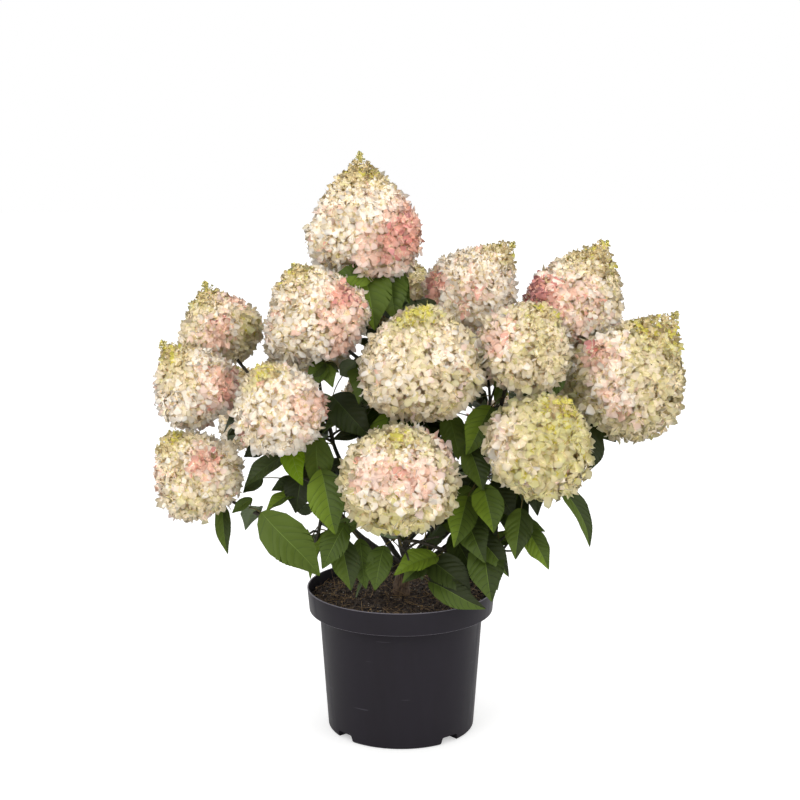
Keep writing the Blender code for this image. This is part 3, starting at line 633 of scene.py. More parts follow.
def add_florets(work, where, facing, scale, broad, shade, sandy, rng, drop):
    """Four crumpled petals for each floret, and a heart and a stalk along drop for those that show them."""
    count = len(where)
    along, across = petal_places()
    first, second = square_frame(facing, rng.uniform(0.0, math.tau, count))
    turn = np.arange(PETALS) * math.tau / PETALS + rng.normal(0.0, 0.14, (count, PETALS))
    out = first[:, None] * np.cos(turn)[..., None] + second[:, None] * np.sin(turn)[..., None]
    side = second[:, None] * np.cos(turn)[..., None] - first[:, None] * np.sin(turn)[..., None]
    inner = np.arange(PETALS) % 2  # every other petal lies over its neighbours
    opening = rng.normal(0.46, 0.27, (count, PETALS)) + 0.12 * inner
    lift = facing[:, None] * np.sin(opening)[..., None] + out * np.cos(opening)[..., None]
    lift = unit(lift - 0.12 * UP)
    upper = np.cross(lift, side)
    length = scale[:, None] * rng.uniform(0.76, 1.30, (count, PETALS)) * (1.04 - 0.10 * inner)
    width = length * broad * rng.uniform(0.48, 0.77, (count, PETALS))
    curl = rng.normal(0.25, 0.45, (count, PETALS))
    curl = np.where(np.abs(curl) < 0.05, 0.05, curl)  # an arc has to bend a little
    cup = rng.normal(0.06, 0.18, (count, PETALS))
    ripple = rng.normal(0.0, 0.13, (count, PETALS))
    phase = rng.uniform(0.0, 1.0, (count, PETALS))
    bend = curl[..., None] * along
    reach = length[..., None] * np.sin(bend) / curl[..., None] + 0.06 * scale[:, None, None]
    height = -length[..., None] * (1.0 - np.cos(bend)) / curl[..., None]
    height = height + (cup * width)[..., None] * across**2
    waves = np.sin(math.pi * (1.6 * along + phase[..., None]))
    height = height + (ripple * length)[..., None] * across * waves
    height = height + (0.05 * scale)[:, None, None] * inner[:, None]
    crumple = rng.normal(0.0, 1.0, (2, count, PETALS, len(along))) * length[..., None] * (along > 0.0)
    height = height + 0.045 * crumple[0]
    sideways = 0.5 * width[..., None] * across + 0.035 * crumple[1]
    petals = (where[:, None, None] + lift[:, :, None] * reach[..., None]
              + side[:, :, None] * sideways[..., None] + upper[:, :, None] * height[..., None])
    petals = petals.reshape(-1, len(along), 3)
    tone = shade[:, None] + rng.normal(0.0, 0.30, (count, PETALS))
    tone = np.clip(np.floor(tone), 0, len(PETAL_SHADES) - 1).astype(int)
    tip = np.where(sandy[:, None], PETAL_SLOTS["sand"], tone).ravel()
    base = np.where(sandy[:, None], PETAL_SLOTS["sand"], INNER_SLOTS[tone]).ravel()
    triangles, quads = petal_faces()
    work.repeat(petals, triangles, np.stack((base, base, tip, tip), 1))
    work.repeat(petals, quads, tip[:, None])
    if drop is None:
        return
    hearts = where + facing * (0.10 * scale)[:, None]
    add_beads(work, hearts, facing, 0.10 * scale + 0.3 * MM, PETAL_SLOTS["heart"])
    add_straws(work, where, where - drop, 0.35 * MM, PETAL_SLOTS["pale_lime"])


def add_beads(work, where, facing, radius, slot):
    """Small beads, pointed at both ends. slot is one number, or one for each."""
    first, second = square_frame(facing, np.zeros(len(where)))
    reach = np.stack((first, second, -first, -second, facing * 1.2, -facing), 1)
    points = where[:, None] + reach * np.reshape(radius, (-1, 1, 1))
    faces = ((0, 1, 4), (1, 2, 4), (2, 3, 4), (3, 0, 4), (1, 0, 5), (2, 1, 5), (3, 2, 5), (0, 3, 5))
    work.repeat(points, faces, np.reshape(slot, (-1, 1)))


def add_straws(work, start, end, radius, slot):
    """Thin three-sided stalks from start to end. slot is one number, or one for each."""
    facing = unit(end - start)
    first, second = square_frame(facing, np.zeros(len(start)))
    ring = [first * math.cos(a) + second * math.sin(a) for a in (0.0, math.tau / 3, 2 * math.tau / 3)]
    radius = np.reshape(np.broadcast_to(radius, len(start)), (-1, 1))
    points = np.stack([start + r * radius for r in ring] + [end + r * radius for r in ring], 1)
    faces = ((0, 1, 4, 3), (1, 2, 5, 4), (2, 0, 3, 5))
    work.repeat(points, faces, np.reshape(slot, (-1, 1)))


def petal_size(angle, settings):
    """How long the petals are this far round from a head's tip."""
    return np.interp(angle / math.pi, (0.0, 0.10, 0.30, 0.60, 0.80), (
        settings.tip_size, 1.25 * settings.tip_size, 0.86 * settings.flank_size, settings.flank_size,
        settings.rim_size))


def head_directions(area, axis, settings, rng):
    """Directions round an axis, closer together where the petals are small, and each one's angle from it."""
    angles = np.linspace(0.0, STALK_SHADOW, 120)
    crowd = 0.5 * np.sin(angles) * (settings.flank_size / petal_size(angles, settings)) ** 1.9
    total = np.concatenate(([0.0], np.cumsum((crowd[1:] + crowd[:-1]) / 2 * np.diff(angles))))
    count = int(area * settings.density * total[-1])
    place = (np.arange(count) + 0.5) / count
    angle = np.interp(place * total[-1], total, angles) + rng.normal(0.0, 0.30 / math.sqrt(count), count)
    flat = ways_round(axis, np.arange(count) * GOLDEN_ANGLE)
    return flat * np.sin(angle)[:, None] + axis * np.cos(angle)[:, None], angle


def head_shades(head, directions, angle, rng):
    """Where each floret sits among the shades, by its head, the patches and the young tip. Is it sandy?"""
    shade = np.full(len(directions), head.shade) + rng.normal(0.0, 0.30, len(directions))
    patches = list(head.patches)
    spots = [np.array((p.across, -math.sqrt(max(1.0 - p.across**2 - p.up**2, 0.02)), p.up)) for p in patches]
    for _ in range(DEALT_PATCHES):
        spot = unit(rng.normal(0.0, 1.0, 3))
        if spot[1] > FACES_BACK:
            patches.append(Patch(0.0, 0.0, rng.uniform(0.35, 0.6), rng.uniform(0.8, 4.0)))
            spots.append(spot)
    for patch, spot in zip(patches, spots):
        apart = np.linalg.norm(directions - unit(spot), axis=1)
        ragged = apart * rng.uniform(0.75, 1.35, len(directions))
        shade += patch.change * (1.0 - smooth_step(0.35 * patch.spread, 1.55 * patch.spread, ragged))
    shade += 2.2 * (rng.random(len(shade)) < PINK_SPECKS)
    tip = 1.0 - smooth_step(1.3 * head.young, 4.0 * head.young, angle * rng.uniform(0.8, 1.2, len(angle)))
    lime = rng.random(len(angle)) < head.green
    shade = np.where(lime, shade * (1.0 - tip) + rng.uniform(-0.4, 1.4, len(shade)) * tip, shade - 1.2 * tip)
    return shade, ~lime & (rng.random(len(angle)) < 0.9 * tip)


def build_head(head, seed, settings, finishes):
    """One head: a layer of florets over its solid, a second in the hollows, a tuft at its tip and a core."""
    rng = np.random.default_rng(seed)
    node = "bloom_" + head.name
    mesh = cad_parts[node].data
    tree = node_tree(node)
    middle = node_middle(node)
    axis = unit(np.array(head.lean))
    area = sum(p.area for p in mesh.polygons)
    directions, angle = head_directions(area / head.size**1.6, axis, settings, rng)
    surface, normals = [], []
    for direction in directions:
        where, normal, _, _ = tree.ray_cast(Vector(middle), Vector(direction))
        surface.append(where)
        normals.append(normal)
    surface, normals = np.array(surface), np.array(normals)
    normals = unit(normals + 0.8 * directions)
    scale = petal_size(angle, settings) * np.interp(angle, (0.3, 0.9), (1.0, head.size))
    shade, sandy = head_shades(head, directions, angle, rng)
    ragged = np.interp(angle, (0.0, math.pi / 2, STALK_SHADOW), (0.36, 0.36, 0.26))[:, None]
    facing = unit(normals + ragged * rng.normal(0.0, 1.0, normals.shape))
    inset = settings.inset * scale / settings.flank_size + rng.uniform(-2.0, 3.0, len(scale)) * MM
    inset += settings.tuck * smooth_step(1.5, 2.5, angle)
    work = Patchwork()
    hearts = surface - normals * inset[:, None]
    add_florets(work, hearts, facing, scale, head.size, shade, sandy, rng, normals * STALK_LENGTH)
    deep = rng.permutation(len(scale))[: len(scale) // UNDER_SHARE]
    facing = unit(normals[deep] + rng.normal(0.0, 0.5, (len(deep), 3)))
    below = surface[deep] - normals[deep] * (inset[deep] + UNDER_LAYER)[:, None]
    # Painted shade: half the florets underneath are sandy and the rest a little greener, or peach under the
    # paler heads, for the warm shade deep in the hollows.
    sandy = sandy[deep] | (rng.random(len(deep)) < 0.5)
    shade = np.where(shade[deep] < PETAL_SLOTS["cream"], shade[deep] - 0.6, PETAL_SLOTS["peach"])
    add_florets(work, below, facing, scale[deep], head.size, shade, sandy, rng, None)
    if head.tuft:
        add_tuft(work, surface, axis, head.tuft, rng)
    # The core under the florets takes the hollows' painted shade, so the gaps between florets show warm
    # shade.
    core = node_points(node) - middle
    core = middle + core * CORE_SIZE + axis * CORE_POINT * np.maximum(core @ axis, 0.0)[:, None]
    work.add(core, [tuple(p.vertices) for p in mesh.polygons], PETAL_SLOTS["hollow_shade"])
    piece = work.piece("florets_" + head.name, finishes)
    settle(piece, "petals", node)


def add_tuft(work, surface, axis, tall, rng):
    """Open buds on branching stalks at a head's tip."""
    tip = surface[np.argmax(surface @ axis)] - axis * 5 * MM
    count = int(26 + tall / MM * 3)
    rise = rng.uniform(0.0, 1.0, count) ** 0.8
    spread_out = rng.uniform(0.2, 1.0, count) * (1.15 - rise) * 0.62 * (tall + 9 * MM)
    flat = ways_round(axis, rng.uniform(0.0, math.tau, count))
    buds = tip + axis * (rise * (tall + 5 * MM))[:, None] + flat * spread_out[:, None]
    roots = tip + axis * ((rise - 0.25).clip(0.0) * tall)[:, None]
    add_straws(work, roots, buds, 0.4 * MM, PETAL_SLOTS["bud"])
    dull = rng.random(count) < 1.0 - YOUNG_BUDS
    slots = np.where(dull, PETAL_SLOTS["bud"], rng.integers(0, PETAL_SLOTS["cream"], count))
    add_beads(work, buds, unit(buds - roots), rng.uniform(0.8, 1.7, count) * MM, slots)


class HYDRANGEA_OT_heads(bpy.types.Operator):
    """Cover every flower head with florets"""

    bl_idname = "hydrangea.heads"
    bl_label = "Flower Heads"

    def execute(self, context):
        settings = context.scene.hydrangea_petals
        finishes = [
            plain_finish(
                "petal " + shade, getattr(settings, shade), 0.55, sheen_weight=0.3, sheen_roughness=0.5,
                specular_ior_level=0.2, subsurface_weight=0.95, subsurface_radius=(1.0, 0.86, 0.72),
                subsurface_scale=13 * MM)
            for shade in PETAL_SLOTS
        ]
        for finish in finishes:
            finish.node_tree.nodes["Principled BSDF"].subsurface_method = "BURLEY"
        for seed, head in enumerate(HEADS, HEAD_SEED):
            build_head(head, seed, settings, finishes)
        return {"FINISHED"}


# ---------------------------------------------------------------- limbs

# A twig is a line of points with a radius at each. Those to a head carry leaves only near their root, and no
# listed leaf springs from them.
Twig = namedtuple("Twig", "points radii to_head")
TWIG_POINTS = 10
STEM_SIDES, TWIG_SIDES, FOOT_SIDES, STALK_SIDES = 14, 8, 28, 5
SIDE_TWIGS = 4  # in each mass, besides the one that comes in from its stem
LEAFY_SHARE = 0.55  # of a twig to a head
JOINT_SPACING, JOINT_LENGTH, JOINT_SWELL = 46 * MM, 2.6 * MM, 0.16  # where a stem's old leaf pairs sat


def middle_line(node, start_near, cuts=14):
    """Points and radii along the middle of a tube's solid, its end nearest a place first."""
    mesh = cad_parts[node].data
    points = node_points(node)
    edges = np.array([tuple(e.vertices) for e in mesh.edges])
    centred = points - points.mean(0)
    axis = np.linalg.svd(centred, full_matrices=False)[2][0]
    place = centred @ axis
    line, radii = [], []
    levels = np.linspace(place.min(), place.max(), cuts + 2)
    for level in levels[1:-1]:
        low, high = place[edges[:, 0]] - level, place[edges[:, 1]] - level
        crossing = low * high < 0
        share = (low[crossing] / (low[crossing] - high[crossing]))[:, None]
        ring = points[edges[crossing, 0]] * (1.0 - share) + points[edges[crossing, 1]] * share
        line.append(ring.mean(0))
        radii.append(np.linalg.norm(ring - line[-1], axis=1).min())
    line = [2 * line[0] - line[1]] + line + [2 * line[-1] - line[-2]]
    line, radii = np.array(line), np.array([radii[0]] + radii + [radii[-1]])
    if np.linalg.norm(line[0] - start_near) > np.linalg.norm(line[-1] - start_near):
        line, radii = line[::-1], radii[::-1]
    return line, radii


def curve(start, start_way, end, end_way, count=TWIG_POINTS):
    """A smooth line between two places with a direction at each."""
    reach = 0.36 * np.linalg.norm(end - start)
    out, back = start + unit(start_way) * reach, end - unit(end_way) * reach
    t = np.linspace(0.0, 1.0, count)[:, None]
    return (1 - t) ** 3 * start + 3 * (1 - t) ** 2 * t * out + 3 * (1 - t) * t**2 * back + t**3 * end


def resample(line, values, step):
    """A finer line through the same points, and the values along it."""
    gaps = np.linalg.norm(np.diff(line, axis=0), axis=1)
    place = np.concatenate(([0.0], np.cumsum(gaps)))
    count = max(int(place[-1] / step), 3)
    fine = np.linspace(0.0, place[-1], count)
    ways = np.gradient(line, place, axis=0)
    index = np.clip(np.searchsorted(place, fine, side="right") - 1, 0, len(line) - 2)
    gap = gaps[index][:, None]
    t = ((fine - place[index]) / gaps[index])[:, None]
    a, b = line[index], line[index + 1]
    points = ((2 * t**3 - 3 * t**2 + 1) * a + (t**3 - 2 * t**2 + t) * gap * ways[index]
              + (3 * t**2 - 2 * t**3) * b + (t**3 - t**2) * gap * ways[index + 1])
    return points, np.interp(fine, place, values), fine


def add_tube(work, line, radii, sides, slot, ridge=0.0, grain_start=0):
    """A round limb along a line, closed at its ends, with ridges along it when asked."""
    ways = unit(np.gradient(line, axis=0))
    first = square_frame(ways[:1], np.zeros(1))[0][0]
    rings = []
    around = np.arange(sides) * math.tau / sides
    for index, way in enumerate(ways):
        first = unit(first - way * (first @ way))
        second = np.cross(way, first)
        radius = np.full(sides, radii[index])
        if ridge:
            radius = radius + ridge * np.array([
                noise.noise((3.0 * math.cos(a) + grain_start, 3.0 * math.sin(a), index * 0.22))
                for a in around])
        rings.append(line[index] + radius[:, None] * (
            first * np.cos(around)[:, None] + second * np.sin(around)[:, None]))
    column = np.arange(sides)
    after = (column + 1) % sides
    starts = np.arange(len(rings))[:, None] * sides
    low, high = starts[:-1], starts[1:]
    quads = np.stack((low + column, low + after, high + after, high + column), 2)
    work.add(np.concatenate(rings + [line[:1], line[-1:]]), quads.reshape(-1, 4), slot)
    foot = np.full(sides, len(rings) * sides)
    work.cover(np.stack((after, column, foot), 1), slot)
    work.cover(np.stack((starts[-1] + column, starts[-1] + after, foot + 1), 1), slot)


def grow_limbs():
    """Lines and radii of the solids' limbs, and the twigs that run on through the masses to the heads."""
    rng = np.random.default_rng(LIMB_SEED)
    shown, twigs, sides, forks = {}, [], [], {}
    foot = node_middle("stem_base")
    mass_trees = {name: node_tree("leaves_" + name) for name in MASSES}

    def nearest_mass(point):
        return min(MASSES, key=lambda name: mass_trees[name].find_nearest(Vector(point))[3])

    def nearest_fork(point):
        return min(forks.values(), key=lambda fork: np.linalg.norm(fork[0] - point))

    for name in MASSES:
        middle = node_middle("leaves_" + name)
        stem = "stem_" + name
        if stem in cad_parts:
            line, radii = middle_line(stem, foot)
            shown[stem] = (line, radii)
            start, way, thick = line[-1], line[-1] - line[-2], radii[-1]
        else:
            start = nearest_fork(middle)[0]
            way, thick = middle - start + 0.3 * UP * np.linalg.norm(middle - start), 2.4 * MM
        fork = middle + rng.normal(0.0, 5.0, 3) * MM
        line = curve(start, way, fork, fork - start + 0.06 * UP)
        twigs.append(Twig(line, np.linspace(thick, 2.5 * MM, TWIG_POINTS), False))
        forks[name] = (fork, fork - start)
        low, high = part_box("leaves_" + name)
        half = np.array(high - low) / 2
        for _ in range(SIDE_TWIGS):
            root = twigs[-1].points[int(rng.integers(TWIG_POINTS // 2, TWIG_POINTS))]
            way = unit(rng.normal(0.0, 1.0, 3) + 0.3 * UP)
            line = curve(root, way + UP, middle + 0.75 * half * way, way)
            sides.append(Twig(line, np.linspace(1.9, 1.3, TWIG_POINTS) * MM, False))
    twigs += sides
    for head in HEADS:
        bloom, shoot = "bloom_" + head.name, "shoot_" + head.name
        middle = node_middle(bloom)
        axis = unit(np.array(head.lean))
        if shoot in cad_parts:
            tree = node_tree(bloom)
            line, radii = middle_line(shoot, foot)
            if tree.find_nearest(Vector(line[0]))[3] < tree.find_nearest(Vector(line[-1]))[3]:
                line, radii = line[::-1], radii[::-1]
            shown[shoot] = (line, radii)
            fork, way = forks[nearest_mass(line[0])]
            link = curve(fork, way, line[0], line[1] - line[0])
            twigs.append(Twig(link, np.full(TWIG_POINTS, radii[0]), False))
            start, way = line[-1], line[-1] - line[-2]
        else:
            start, way = nearest_fork(middle)
        end = middle - axis * 10 * MM
        twigs.append(Twig(curve(start, way, end, axis), np.full(TWIG_POINTS, 2.2 * MM), True))
    return shown, twigs


class HYDRANGEA_OT_limbs(bpy.types.Operator):
    """Draw the woody foot, the stems, the shoots and the twigs, with the relief of their bark"""

    bl_idname = "hydrangea.limbs"
    bl_label = "Stems And Twigs"

    def execute(self, context):
        settings = context.scene.hydrangea_bark
        old = bark_finish("old bark", settings.old_wood, settings.old_furrow, 0.16)
        young = bark_finish("young bark", settings.young_wood, settings.young_shade, 0.10)
        shown, twigs = grow_limbs()
        for number, (node, (line, radii)) in enumerate(shown.items()):
            work = Patchwork()
            points, thick, place = resample(line, radii, 3 * MM)
            joints = np.exp(-((place % JOINT_SPACING - JOINT_SPACING / 2) / JOINT_LENGTH) ** 2)
            thick = thick * (1.0 + JOINT_SWELL * joints)
            add_tube(work, points, thick, STEM_SIDES, 0, settings.ridge, number)
            settle(work.piece("bark_" + node, [young]), "bark", node)
        self.build_foot(settings, old)
        work = Patchwork()
        for number, twig in enumerate(twigs, TWIG_GRAIN):
            points, thick, _ = resample(twig.points, twig.radii, 6 * MM)
            add_tube(work, points, thick, TWIG_SIDES, 0, settings.ridge, number)
        settle(work.piece("twigs", [young]), "bark")
        return {"FINISHED"}

    def build_foot(self, settings, old):
        """The short woody foot that the stems spring from."""
        work = Patchwork()
        line, radii = middle_line("stem_base", np.zeros(3), 10)
        points, thick, _ = resample(line, radii, 1.6 * MM)
        add_tube(work, points, thick, FOOT_SIDES, 0, 6 * settings.ridge, FOOT_GRAIN)
        settle(work.piece("woody_foot", [old]), "bark", "stem_base")


# ---------------------------------------------------------------- leaves


def leaf_rows(pairs):
    """The rows of points along a leaf: their places, their relief, and which begin a side vein's strip."""
    rows, relief = [0.0, 0.018, 0.045], [0.0, 0.0, 0.0]
    gap = 0.88 / pairs
    for pair in range(pairs):
        vein = 0.06 + gap * (pair + 0.25)
        rows += [vein - 0.005, vein + 0.005, vein + 0.36 * gap, vein + 0.64 * gap]
        relief += [-1.0, -1.0, 0.8, 0.8]
    veins = np.arange(3, 4 * pairs, 4)
    return np.array(rows + [0.965, 1.0]), np.array(relief + [0.0, 0.0]), veins


def leaf_half_width(place):
    """Half the width of a leaf against its greatest half width, from base to drawn-out tip."""
    shape = place**0.66 * (1.0 - place) ** 0.86
    return shape / 0.35 * (1.0 - 0.30 * smooth_step(0.60, 0.95, place))


def add_leaves(work, leaves, rng, thickness, columns, pairs):
    """Blades with teeth, folds and sunk veins. leaves holds the arrays that grow_leaves gives."""
    base, tip = leaves["base"], leaves["tip"]
    count = len(base)
    chord = tip - base
    length = np.linalg.norm(chord, axis=1)
    along = unit(chord)
    upper = unit(leaves["face"] - along * np.sum(leaves["face"] * along, 1)[:, None])
    side = np.cross(upper, along)
    rows, relief, veins = leaf_rows(pairs)
    reach = np.abs(columns)
    sweep = LEAF_SWEEP * smooth_step(0.0, 0.24, rows)[:, None] * (1.0 - rows)[:, None]
    place = rows[:, None] + sweep * reach**1.25
    half = leaf_half_width(place) * columns
    teeth = np.full(len(rows), 0.983)
    teeth[veins + 1] = 1.017
    teeth[veins + 3] = 1.017
    half = half * np.where(reach > 0.9, teeth[:, None], 1.0)

    def each(low, high):
        return rng.uniform(low, high, count)[:, None, None]

    width = (0.5 * leaves["width"] * length)[:, None, None]
    lengths = length[:, None, None]
    # The halves fold up from the midrib and roll down at the margins, which wave. The blade arches, its tip
    # droops, and the whole of it twists a little.
    fold = each(0.16, 0.55)
    y = width * half * np.cos(fold)
    z = width * np.abs(half) * np.sin(fold)
    z = z - width * each(0.04, 0.26) * np.abs(half) ** 2.2
    z = z + lengths * each(0.05, 0.14) * 4.0 * place * (1.0 - place)
    z = z - lengths * each(0.0, 0.10) * smooth_step(0.70, 1.0, place)
    x = lengths * place
    wave = each(0.012, 0.040) * lengths * np.abs(half) ** 1.5
    z = z + wave * np.sin(math.tau * (each(1.2, 2.4) * place + each(0.0, 1.0) + 0.3 * (columns > 0)))
    twist = each(-0.5, 0.5) * (place - 0.4)
    y, z = y * np.cos(twist) - z * np.sin(twist), z * np.cos(twist) + y * np.sin(twist)
    quilt = relief[:, None] * smooth_step(0.02, 0.25, reach) * (1.0 - reach**3)
    z = z + LEAF_QUILT * lengths * quilt - MIDRIB_SINK * lengths * (reach < 0.05)
    points = (base[:, None, None] + along[:, None, None] * x[..., None] + side[:, None, None] * y[..., None]
              + upper[:, None, None] * z[..., None])
    under = points.copy()
    under[:, 1:-1, 1:-1] -= upper[:, None, None] * thickness
    wide = len(columns)
    row, column = np.divmod(np.arange((len(rows) - 1) * (wide - 1)), wide - 1)
    corner = row * wide + column
    faces = np.concatenate((
        np.stack((corner, corner + wide, corner + wide + 1), 1),
        np.stack((corner, corner + wide + 1, corner + 1), 1)))
    row, column = np.tile(row, 2), np.tile(column - wide // 2 + 1, 2)
    midrib = column == 0
    tone = leaves["tone"][:, None]
    pale, deep = LEAF_SLOTS["pale_vein"], LEAF_SLOTS["deep_vein"]
    # Each side vein's rows take one tone deeper: painted shade in the sunk veins, added to their relief.
    vein = np.isin(row, veins) & ~midrib
    # Painted shade: the half of a leaf on the far side from the key light takes up to two deeper tones.
    painted_shade_steps = ((side @ PAINTED_SHADE_WAY)[:, None] * np.sign(column) > 0.2) * rng.integers(0, 3, count)[:, None]
    blade = np.clip(tone + painted_shade_steps + vein, 0, len(LEAF_TONES) - 1)
    slots = np.where(midrib, np.where(tone < LEAF_SLOTS["deep"], pale, deep), blade)
    work.repeat(points.reshape(count, -1, 3), faces, slots)
    work.repeat(under.reshape(count, -1, 3), faces[:, ::-1], np.where(midrib, pale, LEAF_SLOTS["underside"]))


def grow_leaves(twigs, settings):
    """Leaves in pairs along the twigs, each turned till it keeps to the crown, clear of heads and gaps."""
    rng = np.random.default_rng(LEAF_SEED)
    heads = node_tree(*("bloom_" + head.name for head in HEADS))
    crown = node_tree(*("leaves_" + name for name in MASSES))
    middles = np.array([node_middle("leaves_" + name) for name in MASSES])
    fronts = np.array([np.linspace(leaf.base, leaf.tip, 5) for leaf in FRONT_LEAVES]).reshape(-1, 3)
    front_ways = unit(fronts - EYE)
    front_gaps = np.linalg.norm(fronts - EYE, axis=1)
    pot_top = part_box("pot")[1].z
    grown = []

    def price_of(base, tip):
        """What a leaf is charged for each metre in a head, past the crown, under the rim or over a gap."""
        price = 0.0
        for share, clear in LEAF_PROBES:
            point = base + (tip - base) * share
            price += max(depth_inside(heads, point) + HEAD_ROOM, 0.0) * 3.0
            price += max(-depth_inside(crown, point) - CROWN_ROOM, 0.0) * 2.0
            price += max(pot_top + RIM_ROOM - point[2], 0.0) * 4.0
            for across, high, half in SKY:
                slope = (EYE[2] - high) / (SKY_PLANE - EYE[1])
                level = high - (point[1] + SKY_PLANE) * slope
                price += max(half + clear - math.hypot(point[0] - across, point[2] - level), 0.0) * 9.0
            way = point - EYE
            gap = np.linalg.norm(way)
            hidden = (front_ways @ (way / gap) > SAME_SIGHT) & (front_gaps > gap - 10 * MM)
            price += HIDING_PRICE * hidden.any()
        return price

    for twig in twigs:
        points, _, place = resample(twig.points, twig.radii, 2 * MM)
        ways = unit(np.gradient(points, axis=0))
        leafy = place[-1] * (LEAFY_SHARE if twig.to_head else 1.0)
        turn = rng.uniform(0.0, math.tau)
        for spot in np.arange(10 * MM, leafy, settings.spacing):
            index = int(np.searchsorted(place, spot))
            way, start = ways[index], points[index]
            turn += math.pi / 2 + rng.normal(0.0, 0.2)
            for half_turn in (0.0, math.pi):
                best = None
                for _ in range(LEAF_TRIES):
                    angle = turn + half_turn + rng.normal(0.0, 0.45)
                    out = square_frame(way[None], np.array([angle]))[0][0]
                    stalk = unit(out + 0.5 * way) * rng.uniform(12, 26) * MM
                    droop = rng.uniform(-0.1, 1.0)
                    heading = unit(out + 0.35 * way - droop * UP)
                    long = settings.blade * rng.uniform(0.62, 1.08)
                    base = start + stalk
                    tip = base + heading * long
                    price = price_of(base, tip)
                    if best is None or price < best[0]:
                        best = (price, base, tip, start)
                if best[0] < PRICE_LIMIT:
                    grown.append(best[1:])
    base, tip, root = np.array(grown).transpose(1, 0, 2)
    outward = unit((tip - base) * np.array((1.0, 1.0, 0.0)) + 1e-6)
    face = unit(UP + 0.5 * outward + rng.normal(0.0, 0.32, base.shape))
    mass = np.argmin(np.linalg.norm(base[:, None] - middles[None], axis=2), axis=1)
    high = (base[:, 2] - 0.20) / 0.45  # from 0 at the pot's rim to 1 at the top leaves, which are paler: painted light from above, and painted shade on the lower leaves
    tone = np.clip(np.round(rng.normal(3.6 - 1.6 * high, 1.1)), 0, len(LEAF_TONES) - 1).astype(int)
    return {
        "base": base, "tip": tip, "root": root, "face": face, "mass": mass, "tone": tone,
        "width": rng.uniform(0.50, 0.64, len(base)),
    }


def front_leaves(twigs, shown):
    """The listed leaves in the same arrays, each rooted on the limb that passes nearest."""
    lines = [twig[:2] for twig in twigs if not twig.to_head] + list(shown.values())
    wood = np.concatenate([resample(line, radii, 3 * MM)[0] for line, radii in lines])
    mass, base, tip, turn, width, tone = (np.array(values) for values in zip(*FRONT_LEAVES))
    along = unit(tip - base)
    flat = unit(FRONT_OUTLOOK - along * (along @ FRONT_OUTLOOK)[:, None])
    turn = np.radians(turn)[:, None]
    face = flat * np.cos(turn) + np.cross(along, flat) * np.sin(turn)
    behind = base - along * 12 * MM
    root = np.array([wood[np.argmin(np.linalg.norm(wood - b, axis=1))] for b in behind])
    mass = np.array([MASSES.index(name) for name in mass])
    return {"base": base, "tip": tip, "root": root, "face": face, "mass": mass, "tone": tone, "width": width}


class HYDRANGEA_OT_leaves(bpy.types.Operator):
    """Fill every leaf mass with leaves in pairs"""

    bl_idname = "hydrangea.leaves"
    bl_label = "Leaves"

    def execute(self, context):
        settings = context.scene.hydrangea_leaves
        looks = [(0.5, 0.12 + 0.03 * number) for number in range(len(LEAF_TONES))]
        looks += [(0.6, 0.2)] * len(LEAF_EXTRAS)
        finishes = [
            plain_finish("leaf " + name, getattr(settings, name), roughness, specular_ior_level=gloss)
            for name, (roughness, gloss) in zip(LEAF_SLOTS, looks)
        ]
        shown, twigs = grow_limbs()
        grown = grow_leaves(twigs, settings)
        chosen = front_leaves(twigs, shown)
        rng = np.random.default_rng(BLADE_SEED)
        for number, name in enumerate(MASSES):
            work = Patchwork()
            for every, detail in ((grown, PLAIN_LEAF), (chosen, FINE_LEAF)):
                mine = every["mass"] == number
                if not mine.any():
                    continue
                leaves = {key: values[mine] for key, values in every.items()}
                add_leaves(work, leaves, rng, settings.thickness, *detail)
                for root, base, tip in zip(leaves["root"], leaves["base"], leaves["tip"]):
                    into = base + (tip - base) * 0.02
                    way = base - root + 0.2 * UP * np.linalg.norm(base - root)
                    line = curve(root, way, into, (tip - base) * 0.3 + (base - root), 7)
                    radii = np.linspace(1.0, 0.7, len(line)) * MM
                    add_tube(work, line, radii, STALK_SIDES, LEAF_SLOTS["petiole"])
            settle(work.piece("foliage_" + name, finishes), "foliage", "leaves_" + name)
        return {"FINISHED"}


# ---------------------------------------------------------------- pot and peat

POT_STEPS, PEAT_STEPS, PEAT_RINGS = 160, 120, 56
POCKETS = 4
FIRST_POCKET = math.radians(-49)  # how far round from the pot's front
SHARP_EDGE = math.radians(38)
LIP = 0.9 * MM  # radius of the rim's rounded edge
PEAT_DROP = 3 * MM  # how much lower the peat lies at the pot's wall than at its middle
LITTER_REACH = 0.97  # of the peat's radius
LITTER = ("dark", "brown", "straw", "grit")


def arc(centre, radius, start, end, steps=5):
    """Points of a rounded edge: radius and height of each, angles in degrees."""
    angles = np.radians(np.linspace(start, end, steps))
    return [(centre[0] + radius * math.cos(a), centre[1] + radius * math.sin(a)) for a in angles]


def turned(name, profile, steps):
    """A closed shape turned round the upright axis from a profile that starts and ends on it."""
    bm = bmesh.new()
    points = [bm.verts.new((r, 0.0, z)) for r, z in profile]
    edges = [bm.edges.new(pair) for pair in zip(points, points[1:])]
    bmesh.ops.spin(
        bm, geom=points + edges, axis=(0, 0, 1), cent=(0, 0, 0), angle=math.tau, steps=steps,
        use_merge=True, use_duplicate=False)
    bmesh.ops.remove_doubles(bm, verts=bm.verts, dist=0.01 * MM)
    bmesh.ops.recalc_face_normals(bm, faces=bm.faces)
    mesh = bpy.data.meshes.new(name)
    bm.to_mesh(mesh)
    bm.free()
    mesh.shade_smooth()
    mesh.set_sharp_from_angle(angle=SHARP_EDGE)
    return new_piece(name, mesh)


